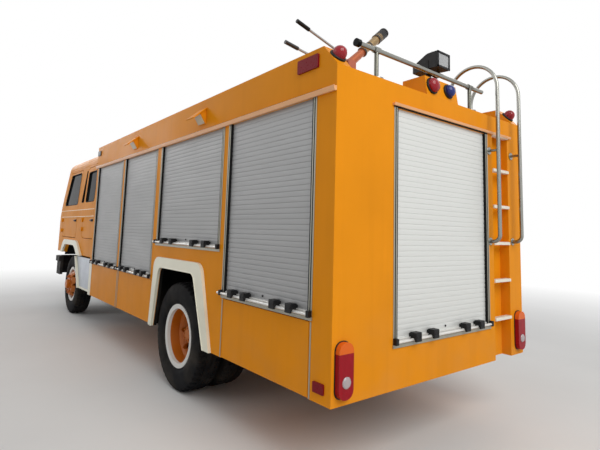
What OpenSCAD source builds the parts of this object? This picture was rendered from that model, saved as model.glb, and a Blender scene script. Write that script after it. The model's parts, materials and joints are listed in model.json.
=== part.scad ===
// Airport fire truck: a two-axle crew-cab tender with roller-shutter lockers.
// Built in millimetres. +X points forward, +Y to the left side, +Z up.
// The modules measure x from the rear face of the body; place() moves them to the frame.

/* [Equipment body] */
// Width of the body
body_w = 2460; // [2350:10:2550]
// Length of the body
body_l = 5700; // [5400:20:6000]
// Height of the body's lower edge above the ground
body_bottom = 540; // [500:5:600]
// Height of the roof deck
deck_z = 2730; // [2650:5:2850]
// Height of the side parapets' top
parapet_z = 2890; // [2830:5:3000]
// Thickness of a side parapet
parapet_t = 130; // [110:5:180]
// Length of the sloped rear end of a parapet
parapet_slope = 140; // [100:5:200]
// Thickness of the body's walls
body_wall = 40; // [30:1:50]
// Height of the drip rail above the shutters
gutter_z = 2565; // [2520:5:2600]
// Height of the locker floors over the lower panels
locker_z = 1060; // [1030:5:1100]
// Height of the locker floor over the rear wheel
arch_locker_z = 1445; // [1400:5:1500]
// Depth of the lower lockers
locker_depth = 560; // [500:10:600]

/* [Shutters] */
// Pitch of the shutter slats
slat_pitch = 40; // [30:1:60]
// Thickness of a shutter curtain
curtain_t = 14; // [10:1:20]
// Width of the aluminium frame round a shutter
frame_w = 34; // [25:1:45]
// Depth of the frames set into the wall
frame_t = 30; // [20:1:36]
// Diameter of the lift bar along a shutter's foot
lift_bar_d = 26; // [20:1:32]

/* [Wheels] */
// Distance between the axles
wheelbase = 5000; // [4800:20:5100]
// Distance from the cab's rear face to the front axle
axle_in_cab = 1590; // [1560:5:1620]
// Radius of a tyre
tyre_r = 530; // [510:1:540]
// Width of a tyre
tyre_w = 275; // [260:1:285]
// Radius of the rim flange
rim_r = 312; // [300:1:320]
// Radius of the bead seat
bead_r = 285; // [275:1:292]
// Distance from the centre line to the middle of a front tyre
front_track_half = 990; // [960:5:1010]
// Distance from the centre line to the middle of an outer rear tyre
rear_outer_y = 1072; // [1060:1:1075]
// Spacing of the twin tyres
twin_spacing = 315; // [305:1:325]

/* [Cab] */
// Length of the cab
cab_l = 2760; // [2700:10:2840]
// Gap between cab and body
cab_gap = 60; // [50:5:90]
// Width of the cab
cab_w = 2380; // [2300:10:2440]
// Height of the cab's lower edge
cab_bottom = 1100; // [1080:5:1120]
// Height of the cab floor
cab_floor = 1420; // [1400:5:1440]
// Height of the cab roof
cab_top = 2865; // [2820:5:2885]
// Thickness of the cab walls
cab_wall = 60; // [50:1:70]
// How far the cab's sides lean in from the belt to the roof
cab_lean = 60; // [40:5:80]
// Lean of the windshield from upright, in degrees
screen_lean = 24; // [20:0.2:27]
// Height at which the windshield starts to lean
screen_foot = 1810; // [1760:2:1860]
// Height of the window sills
sill_z = 2005; // [1980:5:2020]
// Height of the windows' upper edge
window_top = 2600; // [2560:5:2610]
// Gap round a door
door_gap = 10; // [8:1:14]
// Distance that the bumper stands ahead of the cab
bumper_out = 50; // [40:10:100]

/* [Chassis] */
// Height of the frame rails' upper edge
frame_top = 1000; // [980:5:1040]
// Height of a frame rail
rail_h = 250; // [220:5:280]
// Distance over the outside of the frame rails
frame_out_w = 860; // [820:5:880]
// Width of a frame rail's flange
rail_flange = 75; // [60:1:85]
// Thickness of the frame rail's web
rail_web = 10; // [8:1:12]
// Radius of the kingpins
kingpin_r = 20; // [16:1:24]
// Distance from the centre line to a kingpin
kingpin_y = 820; // [800:5:830]
// Length of the steering arms
steer_arm = 190; // [170:5:210]

/* [Rear ladder and rails] */
// Distance that the hand rails stand behind the rear face
rail_out = 110; // [100:5:130]
// Diameter of the hand rails
rail_d = 34; // [28:1:40]
// Number of ladder rungs
rung_count = 6; // [5:1:7]

/* [Fire monitor] */
// Height of the monitor's elbow pivot
monitor_z = 3350; // [3300:10:3420]
// Distance of the monitor from the rear face
monitor_x = 1200; // [1100:10:1300]
// Elevation of the barrel at rest, in degrees
barrel_lift = 43; // [36:1:50]

/* [Hidden] */
big = 20000;
tiny = 0.3;
paint = [0.86, 0.52, 0.07];
black = [0.07, 0.07, 0.08];
pale = [0.88, 0.86, 0.80];
alu = [0.72, 0.74, 0.76];
steel = [0.75, 0.76, 0.78];
red = [0.75, 0.05, 0.06];
clear = [0.35, 0.42, 0.45, 0.4];

body_half = body_w / 2;
cab_half = cab_w / 2;
cab_rear = body_l + cab_gap;
cab_front = cab_rear + cab_l;
total_l = cab_front + bumper_out + rail_out;
rear_x = rail_out - total_l / 2;
front_axle_x = cab_rear + axle_in_cab;
rear_axle_x = front_axle_x - wheelbase;
axle_z = tyre_r;
rail_half = frame_out_w / 2;

// Side lockers: [rear edge, front edge, sill height]
SIDE_SHUTTERS = [
    [220, rear_axle_x - 980, locker_z],
    [rear_axle_x - 830, rear_axle_x + 570, arch_locker_z],
    [rear_axle_x + 700, rear_axle_x + 1870, locker_z],
    [rear_axle_x + 1950, body_l - 140, locker_z]
];
LOWER_PANELS = [SIDE_SHUTTERS[0], SIDE_SHUTTERS[2], SIDE_SHUTTERS[3]];
// Rear locker: [right edge, left edge, sill height]
REAR_SHUTTER = [-600, 640, 850];
// Ladder recess: [right edge, left edge]
LADDER = [-1010, -730];
shutter_top = gutter_z - 20;

function unit(v) = v / norm(v);
// The arc of n steps that rounds corner p between its neighbours a and b
function fillet(p, a, b, r, n) = r == 0 ? [p] :
    let (u = unit(a - p), v = unit(b - p), half = acos(u * v) / 2)
    let (c = p + unit(u + v) * (r / sin(half)), s = p + u * (r / tan(half)), e = p + v * (r / tan(half)))
    let (a0 = atan2(s[1] - c[1], s[0] - c[0]), a1 = atan2(e[1] - c[1], e[0] - c[0]))
    let (d = a1 - a0, sweep = d > 180 ? d - 360 : d < -180 ? d + 360 : d)
    [for (i = [0:n]) c + r * [cos(a0 + sweep * i / n), sin(a0 + sweep * i / n)]];
function rounded(pts, r, n = 4) = let (k = len(pts))
    [for (i = [0:k - 1]) let (before = pts[(i + k - 1) % k], after = pts[(i + 1) % k])
        each fillet(pts[i], before, after, is_list(r) ? r[i] : r, n)];
function box_pts(x0, y0, x1, y1) = [[x0, y0], [x1, y0], [x1, y1], [x0, y1]];

// Moves what is measured from the rear face to the frame's origin
module place() translate([rear_x, 0, 0]) children();
// Draws a side-view outline of x and z, from y0 to y1
module along_y(y0, y1) translate([0, y1, 0]) rotate([90, 0, 0]) linear_extrude(y1 - y0) children();
// Draws a rear-view outline of y and z, from x0 to x1
module along_x(x0, x1) translate([x0, 0, 0]) rotate([90, 0, 90]) linear_extrude(x1 - x0) children();
// A box between two corners
module span(a, b) translate(a) cube(b - a);
// A rod between two points
module rod(a, b, d) {
    v = b - a;
    translate(a) rotate([0, acos(v[2] / norm(v)), atan2(v[1], v[0])]) cylinder(d = d, h = norm(v), $fn = 48);
}
// Repeats its children on both sides of the centre line
module both_sides() {
    children();
    mirror([0, 1, 0]) children();
}
module on_side(side) {
    if (side == "left") children();
    if (side == "right") mirror([0, 1, 0]) children();
}

// Chassis

// Springs: [axle x, half length, height of the eyes, height of the seat, leaves]
SPRINGS = [[rear_axle_x, 760, 712, 605, 8], [front_axle_x, 800, 700, 585, 5]];
leaf_t = 12;
eye_r = 26;
tilt_x = cab_front - 100;
tilt_z = frame_top + 45;
lug_r = 38;
lug_t = 38;
tilt_pin_r = 18;
rail_front = cab_front - 60;
rail_rear = 260;
member_d = 110;
shaft_mid = cab_rear - 70;
CROSS_MEMBERS = [rail_rear + 70, rear_axle_x - 1050, rear_axle_x + 800, rear_axle_x + 1950, shaft_mid,
    rail_front - 70];

module chassis_frame() color(black) place() {
    both_sides() along_x(rail_rear, rail_front) difference() {
        polygon(box_pts(rail_half - rail_flange, frame_top - rail_h, rail_half, frame_top));
        polygon(box_pts(0, frame_top - rail_h + rail_web, rail_half - rail_web, frame_top - rail_web));
    }
    for (x = CROSS_MEMBERS) translate([x, rail_half - rail_web, frame_top - rail_web - member_d / 2])
        rotate([90, 0, 0]) cylinder(d = member_d, h = 2 * (rail_half - rail_web), $fn = 48);
    for (s = SPRINGS) for (m = [-1, 1]) both_sides()
        span([s[0] + m * s[1] - 45, rail_half - rail_flange, s[2] + eye_r + 8],
            [s[0] + m * s[1] + 45, rail_half, frame_top - rail_h]);
    both_sides() span([rail_rear + 40, rail_half - rail_flange, frame_top],
        [body_l - 60, rail_half, floor_z]);
    both_sides() {
        span([tilt_x - lug_r, rail_half - 70, frame_top - 1], [tilt_x + lug_r, rail_half - 40, tilt_z]);
        translate([tilt_x, rail_half - 70, tilt_z]) rotate([-90, 0, 0]) cylinder(r = lug_r, h = 30, $fn = 64);
        translate([tilt_x, rail_half - 41, tilt_z]) rotate([-90, 0, 0])
            cylinder(r = tilt_pin_r, h = 46, $fn = 48);
    }
}

function arc_r(half, sag) = (half * half + sag * sag) / (2 * sag);
// A strip of half length h between two arcs about one centre, its lower arc lowest at z0
module leaf(h, z0, r_out, r_in) intersection() {
    translate([0, z0 + r_out]) difference() {
        circle(r = r_out, $fn = 2400);
        circle(r = r_in, $fn = 2400);
    }
    translate([-h, z0 - 1]) square([2 * h, 400]);
}
module leaf_springs() color(black) place() both_sides() for (s = SPRINGS) translate([s[0], 0, 0]) {
    z_main = s[3] + (s[4] - 1) * leaf_t;
    r = arc_r(s[1], s[2] - z_main);
    along_y(rail_half - rail_flange, rail_half) union() {
        for (i = [0:s[4] - 1])
            leaf(s[1] * (1 - i / (s[4] + 1)), z_main - i * leaf_t, r + i * leaf_t, r - leaf_t);
        for (m = [-1, 1]) translate([m * s[1], s[2] + 8]) circle(r = eye_r, $fn = 32);
    }
    for (m = [-1, 1]) span([m * 75 - 12, rail_half - rail_flange - 12, s[3]],
        [m * 75 + 12, rail_half + 12, z_main + leaf_t + 20]);
}

// Front axle: a forged beam with a drop centre and a boss for each kingpin
boss_h = 130;
boss_r = 46;
beam_t = 76;
module front_axle() color(black) place() translate([front_axle_x, 0, 0]) difference() {
    union() {
        along_x(-beam_t / 2, beam_t / 2) polygon(rounded([
            [-kingpin_y, axle_z + 45], [-540, axle_z + 55], [540, axle_z + 55], [kingpin_y, axle_z + 45],
            [kingpin_y, axle_z - 45], [560, axle_z - 50], [350, axle_z - 130], [-350, axle_z - 130],
            [-560, axle_z - 50], [-kingpin_y, axle_z - 45]], [0, 60, 60, 0, 0, 60, 60, 60, 60, 0]));
        both_sides() translate([0, kingpin_y, axle_z - boss_h / 2])
            cylinder(r = boss_r, h = boss_h, $fn = 48);
    }
    for (m = [-1, 1]) translate([m * beam_t / 2, 0, 0]) along_x(-24, 24) polygon(rounded([
        [-520, axle_z + 33], [520, axle_z + 33], [520, axle_z - 30], [335, axle_z - 105],
        [-335, axle_z - 105], [-520, axle_z - 30]], 25));
    both_sides() translate([0, kingpin_y, 0]) cylinder(r = kingpin_r + 0.05, h = big, $fn = 48);
}

// Steering knuckle about its kingpin: yoke, spindle, steering arm
ear_h = 52;
ear_gap = 3;
yoke_h = boss_h + 2 * (ear_gap + ear_h);
arm_z = -boss_h / 2 - ear_gap - ear_h / 2;
arm_t = 32;
spindle_r = 38;
spindle_y = 230;
yoke_y = 90;
module knuckle(side) color(black) place() on_side(side) translate([front_axle_x, kingpin_y, axle_z]) {
    cylinder(r = kingpin_r, h = yoke_h, center = true, $fn = 48);
    for (m = [-1, 1]) translate([0, 0, m * (boss_h / 2 + ear_gap + ear_h / 2)]) {
        cylinder(r = 44, h = ear_h, center = true, $fn = 48);
        translate([-44, 0, -ear_h / 2]) cube([88, yoke_y, ear_h]);
    }
    translate([-60, boss_r + 10, -yoke_h / 2]) cube([120, yoke_y - boss_r - 10, yoke_h]);
    rotate([-90, 0, 0]) translate([0, 0, yoke_y - 10])
        cylinder(r = spindle_r, h = spindle_y - yoke_y + 10, $fn = 48);
    difference() {
        translate([-steer_arm, 0, arm_z]) {
            translate([0, -22, -arm_t / 2]) cube([steer_arm - 30, 44, arm_t]);
            cylinder(r = 30, h = arm_t, center = true, $fn = 48);
        }
        translate([-steer_arm, 0, 0]) cylinder(r = tie_pin_r + 0.05, h = 1000, center = true, $fn = 48);
    }
}

// Tie rod under the two steering arms
tie_pin_r = 14;
tie_rod_d = 40;
tie_gap = 4;
tie_z = axle_z + arm_z - arm_t / 2 - tie_gap;
module tie_rod() color(steel) place() translate([front_axle_x - steer_arm, 0, tie_z]) {
    rod([0, -kingpin_y, -25], [0, kingpin_y, -25], tie_rod_d);
    both_sides() translate([0, kingpin_y, -50]) {
        cylinder(r = 28, h = 50, $fn = 48);
        cylinder(r = tie_pin_r, h = 50 + tie_gap + arm_t, $fn = 48);
    }
}

// Rear axle: banjo case, tubes, spring seats and the stubs that carry the hubs
stub_r = 45;
stub_root = 540;
banjo_r = 205;
stub_end = rear_outer_y - 12;
module rear_axle() color(black) place() translate([rear_axle_x, 0, axle_z]) {
    rotate([90, 0, 0]) cylinder(r = 70, h = 1100, center = true, $fn = 64);
    rotate([90, 0, 0]) cylinder(r = banjo_r, h = 150, center = true, $fn = 64);
    for (m = [-90, 90]) rotate([m, 0, 0]) translate([0, 0, 74])
        cylinder(r1 = banjo_r, r2 = 90, h = 160, $fn = 64);
    rotate([0, 90, 0]) cylinder(r1 = 150, r2 = 70, h = pinion_l, $fn = 64);
    both_sides() span([-110, rail_half - rail_flange - 12, 0], [110, rail_half + 12, SPRINGS[0][3] - axle_z]);
    both_sides() rotate([-90, 0, 0]) translate([0, 0, stub_root])
        cylinder(r = stub_r, h = stub_end - stub_root, $fn = 64);
}

shaft_z = 800;
shaft_d = 90;
pinion_l = 330;
gearbox_rear = front_axle_x - 788;
engine_rear = front_axle_x - 450;
engine_front = front_axle_x + 700;
engine_half = 330;
engine_top = 1370;
module prop_shaft() color(black) place() {
    intersection() {
        union() {
            rod([rear_axle_x, 0, axle_z - 45], [shaft_mid, 0, shaft_z], shaft_d);
            rod([shaft_mid, 0, shaft_z], [gearbox_rear + 200, 0, shaft_z + 70], shaft_d);
        }
        span([rear_axle_x + pinion_l, -shaft_d, 0], [gearbox_rear, shaft_d, frame_top]);
    }
    translate([shaft_mid - 25, 0, shaft_z]) rotate([0, 90, 0])
        cylinder(r = frame_top - rail_web - member_d - shaft_z, h = 50, $fn = 48);
}

// Engine and gearbox as one plain block, resting on the rails
module engine() color([0.45, 0.46, 0.45]) place() {
    span([engine_rear, -engine_half, 760], [engine_front, engine_half, engine_top]);
    span([gearbox_rear, -180, 780], [engine_rear + 1, 180, 1060]);
    for (x = [engine_rear + 150, engine_front - 250])
        span([x, -rail_half, frame_top], [x + 90, rail_half, frame_top + 40]);
}

// Fuel tank on the right rail and air tanks on the left one: [rear end, front end]
FUEL_TANK = [rear_axle_x + 1100, rear_axle_x + 1800];
AIR_TANK = [rear_axle_x + 2400, rear_axle_x + 3100];
air_r = 78;
module tanks() color(alu) place() {
    along_x(FUEL_TANK[0], FUEL_TANK[1])
        polygon(rounded(box_pts(-rail_half - 170, 640, -rail_half, 970), [40, 0, 0, 40]));
    for (z = [690, 870]) translate([AIR_TANK[0], rail_half + air_r, z]) rotate([0, 90, 0])
        cylinder(r = air_r, h = AIR_TANK[1] - AIR_TANK[0], $fn = 48);
    for (x = [AIR_TANK[0] + 130, AIR_TANK[1] - 170]) span([x, rail_half, 640], [x + 40, rail_half + 20, 960]);
}

// Equipment body

floor_z = 1200;
shelf_t = 30;
panel_gap = 6;
panel_t = 24;
lip = 25;
under_half = body_half - locker_depth - body_wall;
house_rear = rear_axle_x - 750;
house_front = rear_axle_x + 635;
flare_out = 28;
// Corners of the rear arch, from the axle: [x, z] of rear foot, rear top, front top, front foot
ARCH_INNER = [[-690, body_bottom - 1], [-420, 1190], [440, 1190], [560, body_bottom - 1]];
ARCH_OUTER = [[-805, body_bottom - 1], [-565, 1295], [570, 1295], [648, body_bottom - 1]];
ladder_depth = 90;

function at_rear_axle(pts) = [for (p = pts) [rear_axle_x + p[0], p[1]]];

module side_outline() polygon([
    [0, body_bottom], [body_l, body_bottom], [body_l, parapet_z], [parapet_slope, parapet_z], [0, deck_z]]);

// The tank and the lockers behind the fixed shutters are closed, so the upper body is solid
module body_shell() color(paint) place() difference() {
    along_y(-body_half, body_half) side_outline();
    // roof trough between the parapets
    span([-1, parapet_t - body_half, deck_z], [body_l - body_wall, body_half - parapet_t, big]);
    // clear space over the chassis, and the wheel housing
    span([body_wall, -under_half, 0], [big, under_half, floor_z]);
    span([house_rear, body_wall - body_half, 0], [house_front, body_half - body_wall, floor_z]);
    along_y(-body_half - 1, body_half + 1) polygon(rounded(at_rear_axle(ARCH_INNER), [0, 90, 90, 0]));
    both_sides() {
        for (s = SIDE_SHUTTERS)
            span([s[0], body_half - frame_t, s[2]], [s[1], body_half + 1, shutter_top]);
        for (p = LOWER_PANELS) {
            // lower lockers, and the opening that their panel fills
            span([p[0] + lip, under_half + body_wall, body_bottom + shelf_t],
                [p[1] - lip, body_half + 1, locker_z - shelf_t - lip]);
            span([p[0], body_half - panel_t - tiny, body_bottom - 1],
                [p[1], body_half + 1, locker_z - shelf_t]);
        }
    }
    // rear locker and ladder recess
    along_x(-1, frame_t) polygon(box_pts(REAR_SHUTTER[0], REAR_SHUTTER[2], REAR_SHUTTER[1], shutter_top));
    span([-1, LADDER[0], body_bottom - 1], [ladder_depth, LADDER[1], gutter_z]);
}

// White flares round the rear wheels
module rear_arches() color(pale) place() both_sides() along_y(body_half, body_half + flare_out) difference() {
    polygon(rounded(at_rear_axle(ARCH_OUTER), [0, 120, 120, 0]));
    polygon(rounded(at_rear_axle(ARCH_INNER), [0, 90, 90, 0]));
    polygon(box_pts(0, 0, big, body_bottom));
}

// Slats of a curtain of the given height, as an outline of depth and height
slat_groove = 2.5;
function slats(h) = let (n = floor(h / slat_pitch)) [for (i = [0:n - 1])
    each [[curtain_t - slat_groove, i * slat_pitch], [curtain_t, i * slat_pitch + slat_pitch * 0.14],
        [curtain_t, i * slat_pitch + slat_pitch * 0.86]]];
module curtain(w, h) linear_extrude(w)
    polygon(concat([[0, h], [0, 0]], slats(h), [[curtain_t - slat_groove, h]]));

module frame_outline(x0, z0, x1, z1) difference() {
    polygon(box_pts(x0, z0, x1, z1));
    polygon(box_pts(x0 + frame_w, z0 - 1, x1 - frame_w, z1 - frame_w));
}
// Section of a drip rail: distance out from the wall, and height
DRIP_RAIL = [[0, 0], [22, -4], [26, 14], [21, 14], [19, 5], [0, 10]];
module shutter_frames() color(alu) place() {
    both_sides() for (s = SIDE_SHUTTERS)
        along_y(body_half - frame_t, body_half + 3) frame_outline(s[0], s[2], s[1], shutter_top);
    along_x(-3, frame_t) frame_outline(REAR_SHUTTER[0], REAR_SHUTTER[2], REAR_SHUTTER[1], shutter_top);
    // drip rails
    both_sides() along_x(0, body_l) translate([body_half, gutter_z]) polygon(DRIP_RAIL);
    along_y(LADDER[0] - 35, REAR_SHUTTER[1] + 30) translate([0, gutter_z]) mirror([1, 0]) polygon(DRIP_RAIL);
}

curtain_in = 8;
module shutters() color(alu) place() {
    both_sides() for (s = SIDE_SHUTTERS) translate([s[0] + frame_w, body_half - curtain_in - curtain_t, s[2]])
        rotate([90, 0, 90]) curtain(s[1] - s[0] - 2 * frame_w, shutter_top - frame_w - s[2]);
    r = REAR_SHUTTER;
    translate([curtain_in + curtain_t, r[1] - frame_w, r[2]]) rotate([90, 0, 0]) mirror([1, 0, 0])
        curtain(r[1] - r[0] - 2 * frame_w, shutter_top - frame_w - r[2]);
}

// Share of a lift bar's length at the middle of each grip
LIFT_GRIPS = [0.11, 0.30, 0.69, 0.88];
grip_l = 64;
// Round lift bar with its end blocks and finger grips, along x from 0 to w, out towards +y
module lift_bar(w) {
    translate([0, 20, 22]) rotate([0, 90, 0]) cylinder(d = lift_bar_d, h = w, $fn = 32);
    for (x = [0, w - 30]) translate([x, -curtain_in, 0]) cube([30, curtain_in + 36, 40]);
    for (s = LIFT_GRIPS) translate([w * s - grip_l / 2, -curtain_in, 4]) cube([grip_l, curtain_in + 46, 58]);
    translate([w / 2 - 22, -curtain_in, 0]) cube([44, curtain_in + 26, 24]);
}
module lift_bars() color(black) place() {
    both_sides() for (s = SIDE_SHUTTERS)
        translate([s[0] + frame_w + 4, body_half, s[2]]) lift_bar(s[1] - s[0] - 2 * frame_w - 8);
    translate([0, REAR_SHUTTER[0] + frame_w + 4, REAR_SHUTTER[2]]) rotate([0, 0, 90])
        lift_bar(REAR_SHUTTER[1] - REAR_SHUTTER[0] - 2 * frame_w - 8);
}

// Fold-down lower panel: its foot is rounded about the hinge pin that runs through it
fold_r = panel_t / 2;
fold_pin_r = 6;
module lower_panel(side, i) color(paint) place() on_side(side) {
    p = LOWER_PANELS[i];
    span([p[0] + panel_gap, body_half - panel_t, body_bottom + fold_r],
        [p[1] - panel_gap, body_half, locker_z - shelf_t - panel_gap]);
    translate([p[0], body_half - fold_r, body_bottom + fold_r]) rotate([0, 90, 0]) {
        translate([0, 0, panel_gap]) cylinder(r = fold_r, h = p[1] - p[0] - 2 * panel_gap, $fn = 48);
        translate([0, 0, tiny]) cylinder(r = fold_pin_r, h = p[1] - p[0] - 2 * tiny, $fn = 48);
    }
}

rung_t = 26;
rung_first = 890;
rung_step = 330;
module ladder_rungs() color(pale) place() for (i = [0:rung_count - 1])
    span([-14, LADDER[0], rung_first + i * rung_step - rung_t], [40, LADDER[1], rung_first + i * rung_step]);

// A bend of a tube in a plane of x and z: centre, radius, first angle and sweep
module bend(cx, cz, r, a0, sweep, d) translate([cx, 0, cz]) rotate([90, 0, 0]) rotate([0, 0, a0])
    rotate_extrude(angle = sweep, $fn = 96) translate([r, 0]) circle(d = d, $fn = 32);
rail_x = rail_d / 2 - rail_out;
RAIL_Y = [LADDER[1] + 60, LADDER[0] - 60];
rail_foot = 1575;
rail_bend = 60;
rail_arc = 250;
rail_arc_z = deck_z + 245;
rail_stay_z = deck_z - 335;
// Rail across the rear of the roof: [x, right end, left end, height, diameter]
ROOF_RAIL = [60, -670, 965, deck_z + 230, 38];
ROOF_RAIL_POSTS = [-460, 785];
module hand_rails() color(steel) place() {
    for (y = RAIL_Y) translate([0, y, 0]) {
        rod([rail_x + rail_bend, 0, rail_foot], [0, 0, rail_foot], rail_d);
        bend(rail_x + rail_bend, rail_foot + rail_bend, rail_bend, 180, 90, rail_d);
        rod([rail_x, 0, rail_foot + rail_bend], [rail_x, 0, rail_arc_z], rail_d);
        bend(rail_x + rail_arc, rail_arc_z, rail_arc, 0, 180, rail_d);
        rod([rail_x + 2 * rail_arc, 0, deck_z], [rail_x + 2 * rail_arc, 0, rail_arc_z], rail_d);
        rod([rail_x, 0, rail_stay_z], [0, 0, rail_stay_z], rail_d * 0.7);
    }
    r = ROOF_RAIL;
    translate([r[0], 0, 0]) {
        rod([0, r[1], r[3]], [0, r[2], r[3]], r[4]);
        for (y = ROOF_RAIL_POSTS) {
            rod([0, y, deck_z], [0, y, r[3]], r[4] - 4);
            translate([0, y, deck_z]) cylinder(d = 110, h = 12, $fn = 48);
            translate([0, y - 28, r[3]]) rotate([-90, 0, 0]) cylinder(d = r[4] + 14, h = 56, $fn = 48);
        }
        translate([0, r[2], r[3]]) rotate([-90, 0, 0]) cylinder(d = r[4] + 20, h = 36, $fn = 48);
    }
}

// Rear lamps: [inner edge from the side, outer edge from the side, foot, top over the body's foot, depth]
REAR_LAMP = [155, 29, 46, 390, 42];
module rear_lamps() color(red) place() both_sides() let (r = REAR_LAMP) along_x(-r[4], 0)
    polygon(rounded(box_pts(body_half - r[0], body_bottom + r[2], body_half - r[1], body_bottom + r[3]), 56));

// Box for the rear warning lamps: its rear face leans forward by lamp_lean
lamp_box_x = 4;
lamp_box_front = 250;
LAMP_BOX_Y = [-190, 245];
lamp_box_h = 165;
lamp_lean = 9;
lamp_z = 90;
lamp_face_x = lamp_box_x + lamp_z * tan(lamp_lean) - tiny;
beacon_d = 104;
beacon_crown = 36;
PARAPET_LAMP_H = 82;
BOX_LAMP_H = 64;
BOX_LAMP_Y = [150, -60];
// Round lamp of height h: a base ring, a short drum and a flattened crown
module dome(h) {
    r = beacon_d / 2;
    drum = h - beacon_crown;
    cap_r = arc_r(r, beacon_crown);
    cylinder(r = r + 5, h = 16, $fn = 48);
    cylinder(r = r, h = drum, $fn = 48);
    intersection() {
        translate([0, 0, h - cap_r]) sphere(r = cap_r, $fn = 64);
        translate([0, 0, drum - 1]) cylinder(r = r, h = beacon_crown + 2, $fn = 48);
    }
}
slope_a = atan2(parapet_z - deck_z, parapet_slope);
module beacons() color(red) place() {
    both_sides() translate([parapet_slope / 2, body_half - parapet_t / 2, (deck_z + parapet_z) / 2])
        rotate([0, -slope_a, 0]) dome(PARAPET_LAMP_H);
    for (y = BOX_LAMP_Y) translate([lamp_face_x, y, deck_z + lamp_z])
        rotate([0, lamp_lean - 90, 0]) dome(BOX_LAMP_H);
}

module lamp_box() color(paint) place() along_y(LAMP_BOX_Y[0], LAMP_BOX_Y[1]) polygon([[lamp_box_x, deck_z],
    [lamp_box_x + lamp_box_h * tan(lamp_lean), deck_z + lamp_box_h], [lamp_box_front, deck_z + lamp_box_h],
    [lamp_box_front, deck_z]]);

// Flood lamp on the lamp box, its lens to the rear and its casing tapered towards the front
work_l = 290;
work_y = 86;
work_half = 68;
work_z = 190;
work_post = 150;
work_nose = 58;
WORK_SIDE = [[0, -work_half], [0, work_half], [110, work_half + 6], [work_l, 0], [work_l, 10 - work_half]];
WORK_PLAN = [[0, -work_y], [20, -work_y], [work_l, -work_nose], [work_l, work_nose], [20, work_y],
    [0, work_y]];
module work_lamp() color(black) place() translate([30, -15, deck_z + lamp_box_h]) {
    translate([work_post, 0, 0]) cylinder(d = 90, h = 14, $fn = 48);
    translate([work_post, 0, 0]) cylinder(d = 44, h = work_z - 40, $fn = 32);
    translate([0, 0, work_z]) intersection() {
        along_y(-work_y, work_y) polygon(rounded(WORK_SIDE, [6, 6, 80, 40, 20]));
        translate([0, 0, -work_y]) linear_extrude(2 * work_y)
            polygon(rounded(WORK_PLAN, [4, 0, 40, 40, 0, 4]));
    }
}

// Hooded lamps over the side lockers
SIDE_LAMPS = [rear_axle_x - 400, rear_axle_x + 1535];
module side_lamps() color(pale) place() both_sides() for (x = SIDE_LAMPS)
    translate([x, body_half, deck_z - 50]) {
        along_y(0, 20) polygon(box_pts(-100, 0, 100, 130));
        translate([-88, 20, 0]) rotate([90, 0, 90]) linear_extrude(176)
            polygon([[0, 12], [0, 122], [95, 122], [110, 105]]);
    }

module marker(x0, z0, x1, z1, t) along_y(body_half, body_half + t)
    polygon(rounded(box_pts(x0, z0, x1, z1), 8));
module markers() color(red) place() both_sides() {
    marker(185, deck_z + 20, 415, deck_z + 120, 14);
    marker(body_l - 170, deck_z + 15, body_l - 30, deck_z + 90, 16);
    marker(60, body_bottom + 62, 165, body_bottom + 128, 10);
}

// Fire monitor
turn_z = monitor_z - 200;
module monitor_riser() color(paint) place() translate([monitor_x, 0, deck_z]) {
    cylinder(r = 130, h = 20, $fn = 64);
    cylinder(r = 60, h = turn_z - deck_z, $fn = 64);
    translate([0, 0, turn_z - 20 - deck_z]) cylinder(r = 95, h = 20, $fn = 64);
}
elbow_pin_r = 18;
lever_d = 26;
grip_d = 40;
module lever(a, b) {
    rod(a, b, lever_d);
    rod(b - unit(b - a) * 160, b, grip_d);
}
swivel_z = turn_z + tiny;
module monitor_swivel() color([0.75, 0.25, 0.10]) place() translate([monitor_x, 0, 0]) {
    translate([0, 0, swivel_z]) cylinder(r = 95, h = 20, $fn = 64);
    translate([0, 0, swivel_z]) cylinder(r = 72, h = 95, $fn = 64);
    for (m = [-1, 1]) translate([m * 88 - 14, -50, swivel_z]) cube([28, 100, monitor_z - swivel_z + 45]);
    for (m = [-1, 1]) translate([m * 74, 0, monitor_z]) rotate([0, -m * 90, 0])
        cylinder(r = elbow_pin_r, h = 30, $fn = 48);
    lever([88, 40, monitor_z - 22], [88, 732, monitor_z + 86]);
}
module monitor_barrel() color([0.55, 0.40, 0.20]) place() translate([monitor_x, 0, monitor_z]) {
    difference() {
        rotate([0, 90, 0]) cylinder(r = 68, h = 136, center = true, $fn = 64);
        rotate([0, 90, 0]) cylinder(r = elbow_pin_r + 0.05, h = 200, center = true, $fn = 64);
    }
    rotate([90 - barrel_lift, 0, 0]) {
        translate([0, 0, 50]) cylinder(r1 = 48, r2 = 42, h = 280, $fn = 64);
        translate([0, 0, 325]) cylinder(r = 52, h = 24, $fn = 64);
        translate([0, 0, 340]) cylinder(r1 = 41, r2 = 48, h = 300, $fn = 64);
        translate([0, 0, 630]) difference() {
            cylinder(r = 53, h = 190, $fn = 64);
            translate([0, 0, 130]) cylinder(r1 = 30, r2 = 44, h = 61, $fn = 64);
        }
    }
    rod([-20, 0, 0], [-20, 45, 105], lever_d);
    lever([-20, 40, 100], [-20, 680, 278]);
}

// Steps behind the front wheels, with a sheet mudguard on their slanted front
step_in = 780;
STEP_LOW = [front_axle_x - 892, 560];
STEP_TOP = [front_axle_x - 572, 1080];
guard_t = 12;
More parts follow.
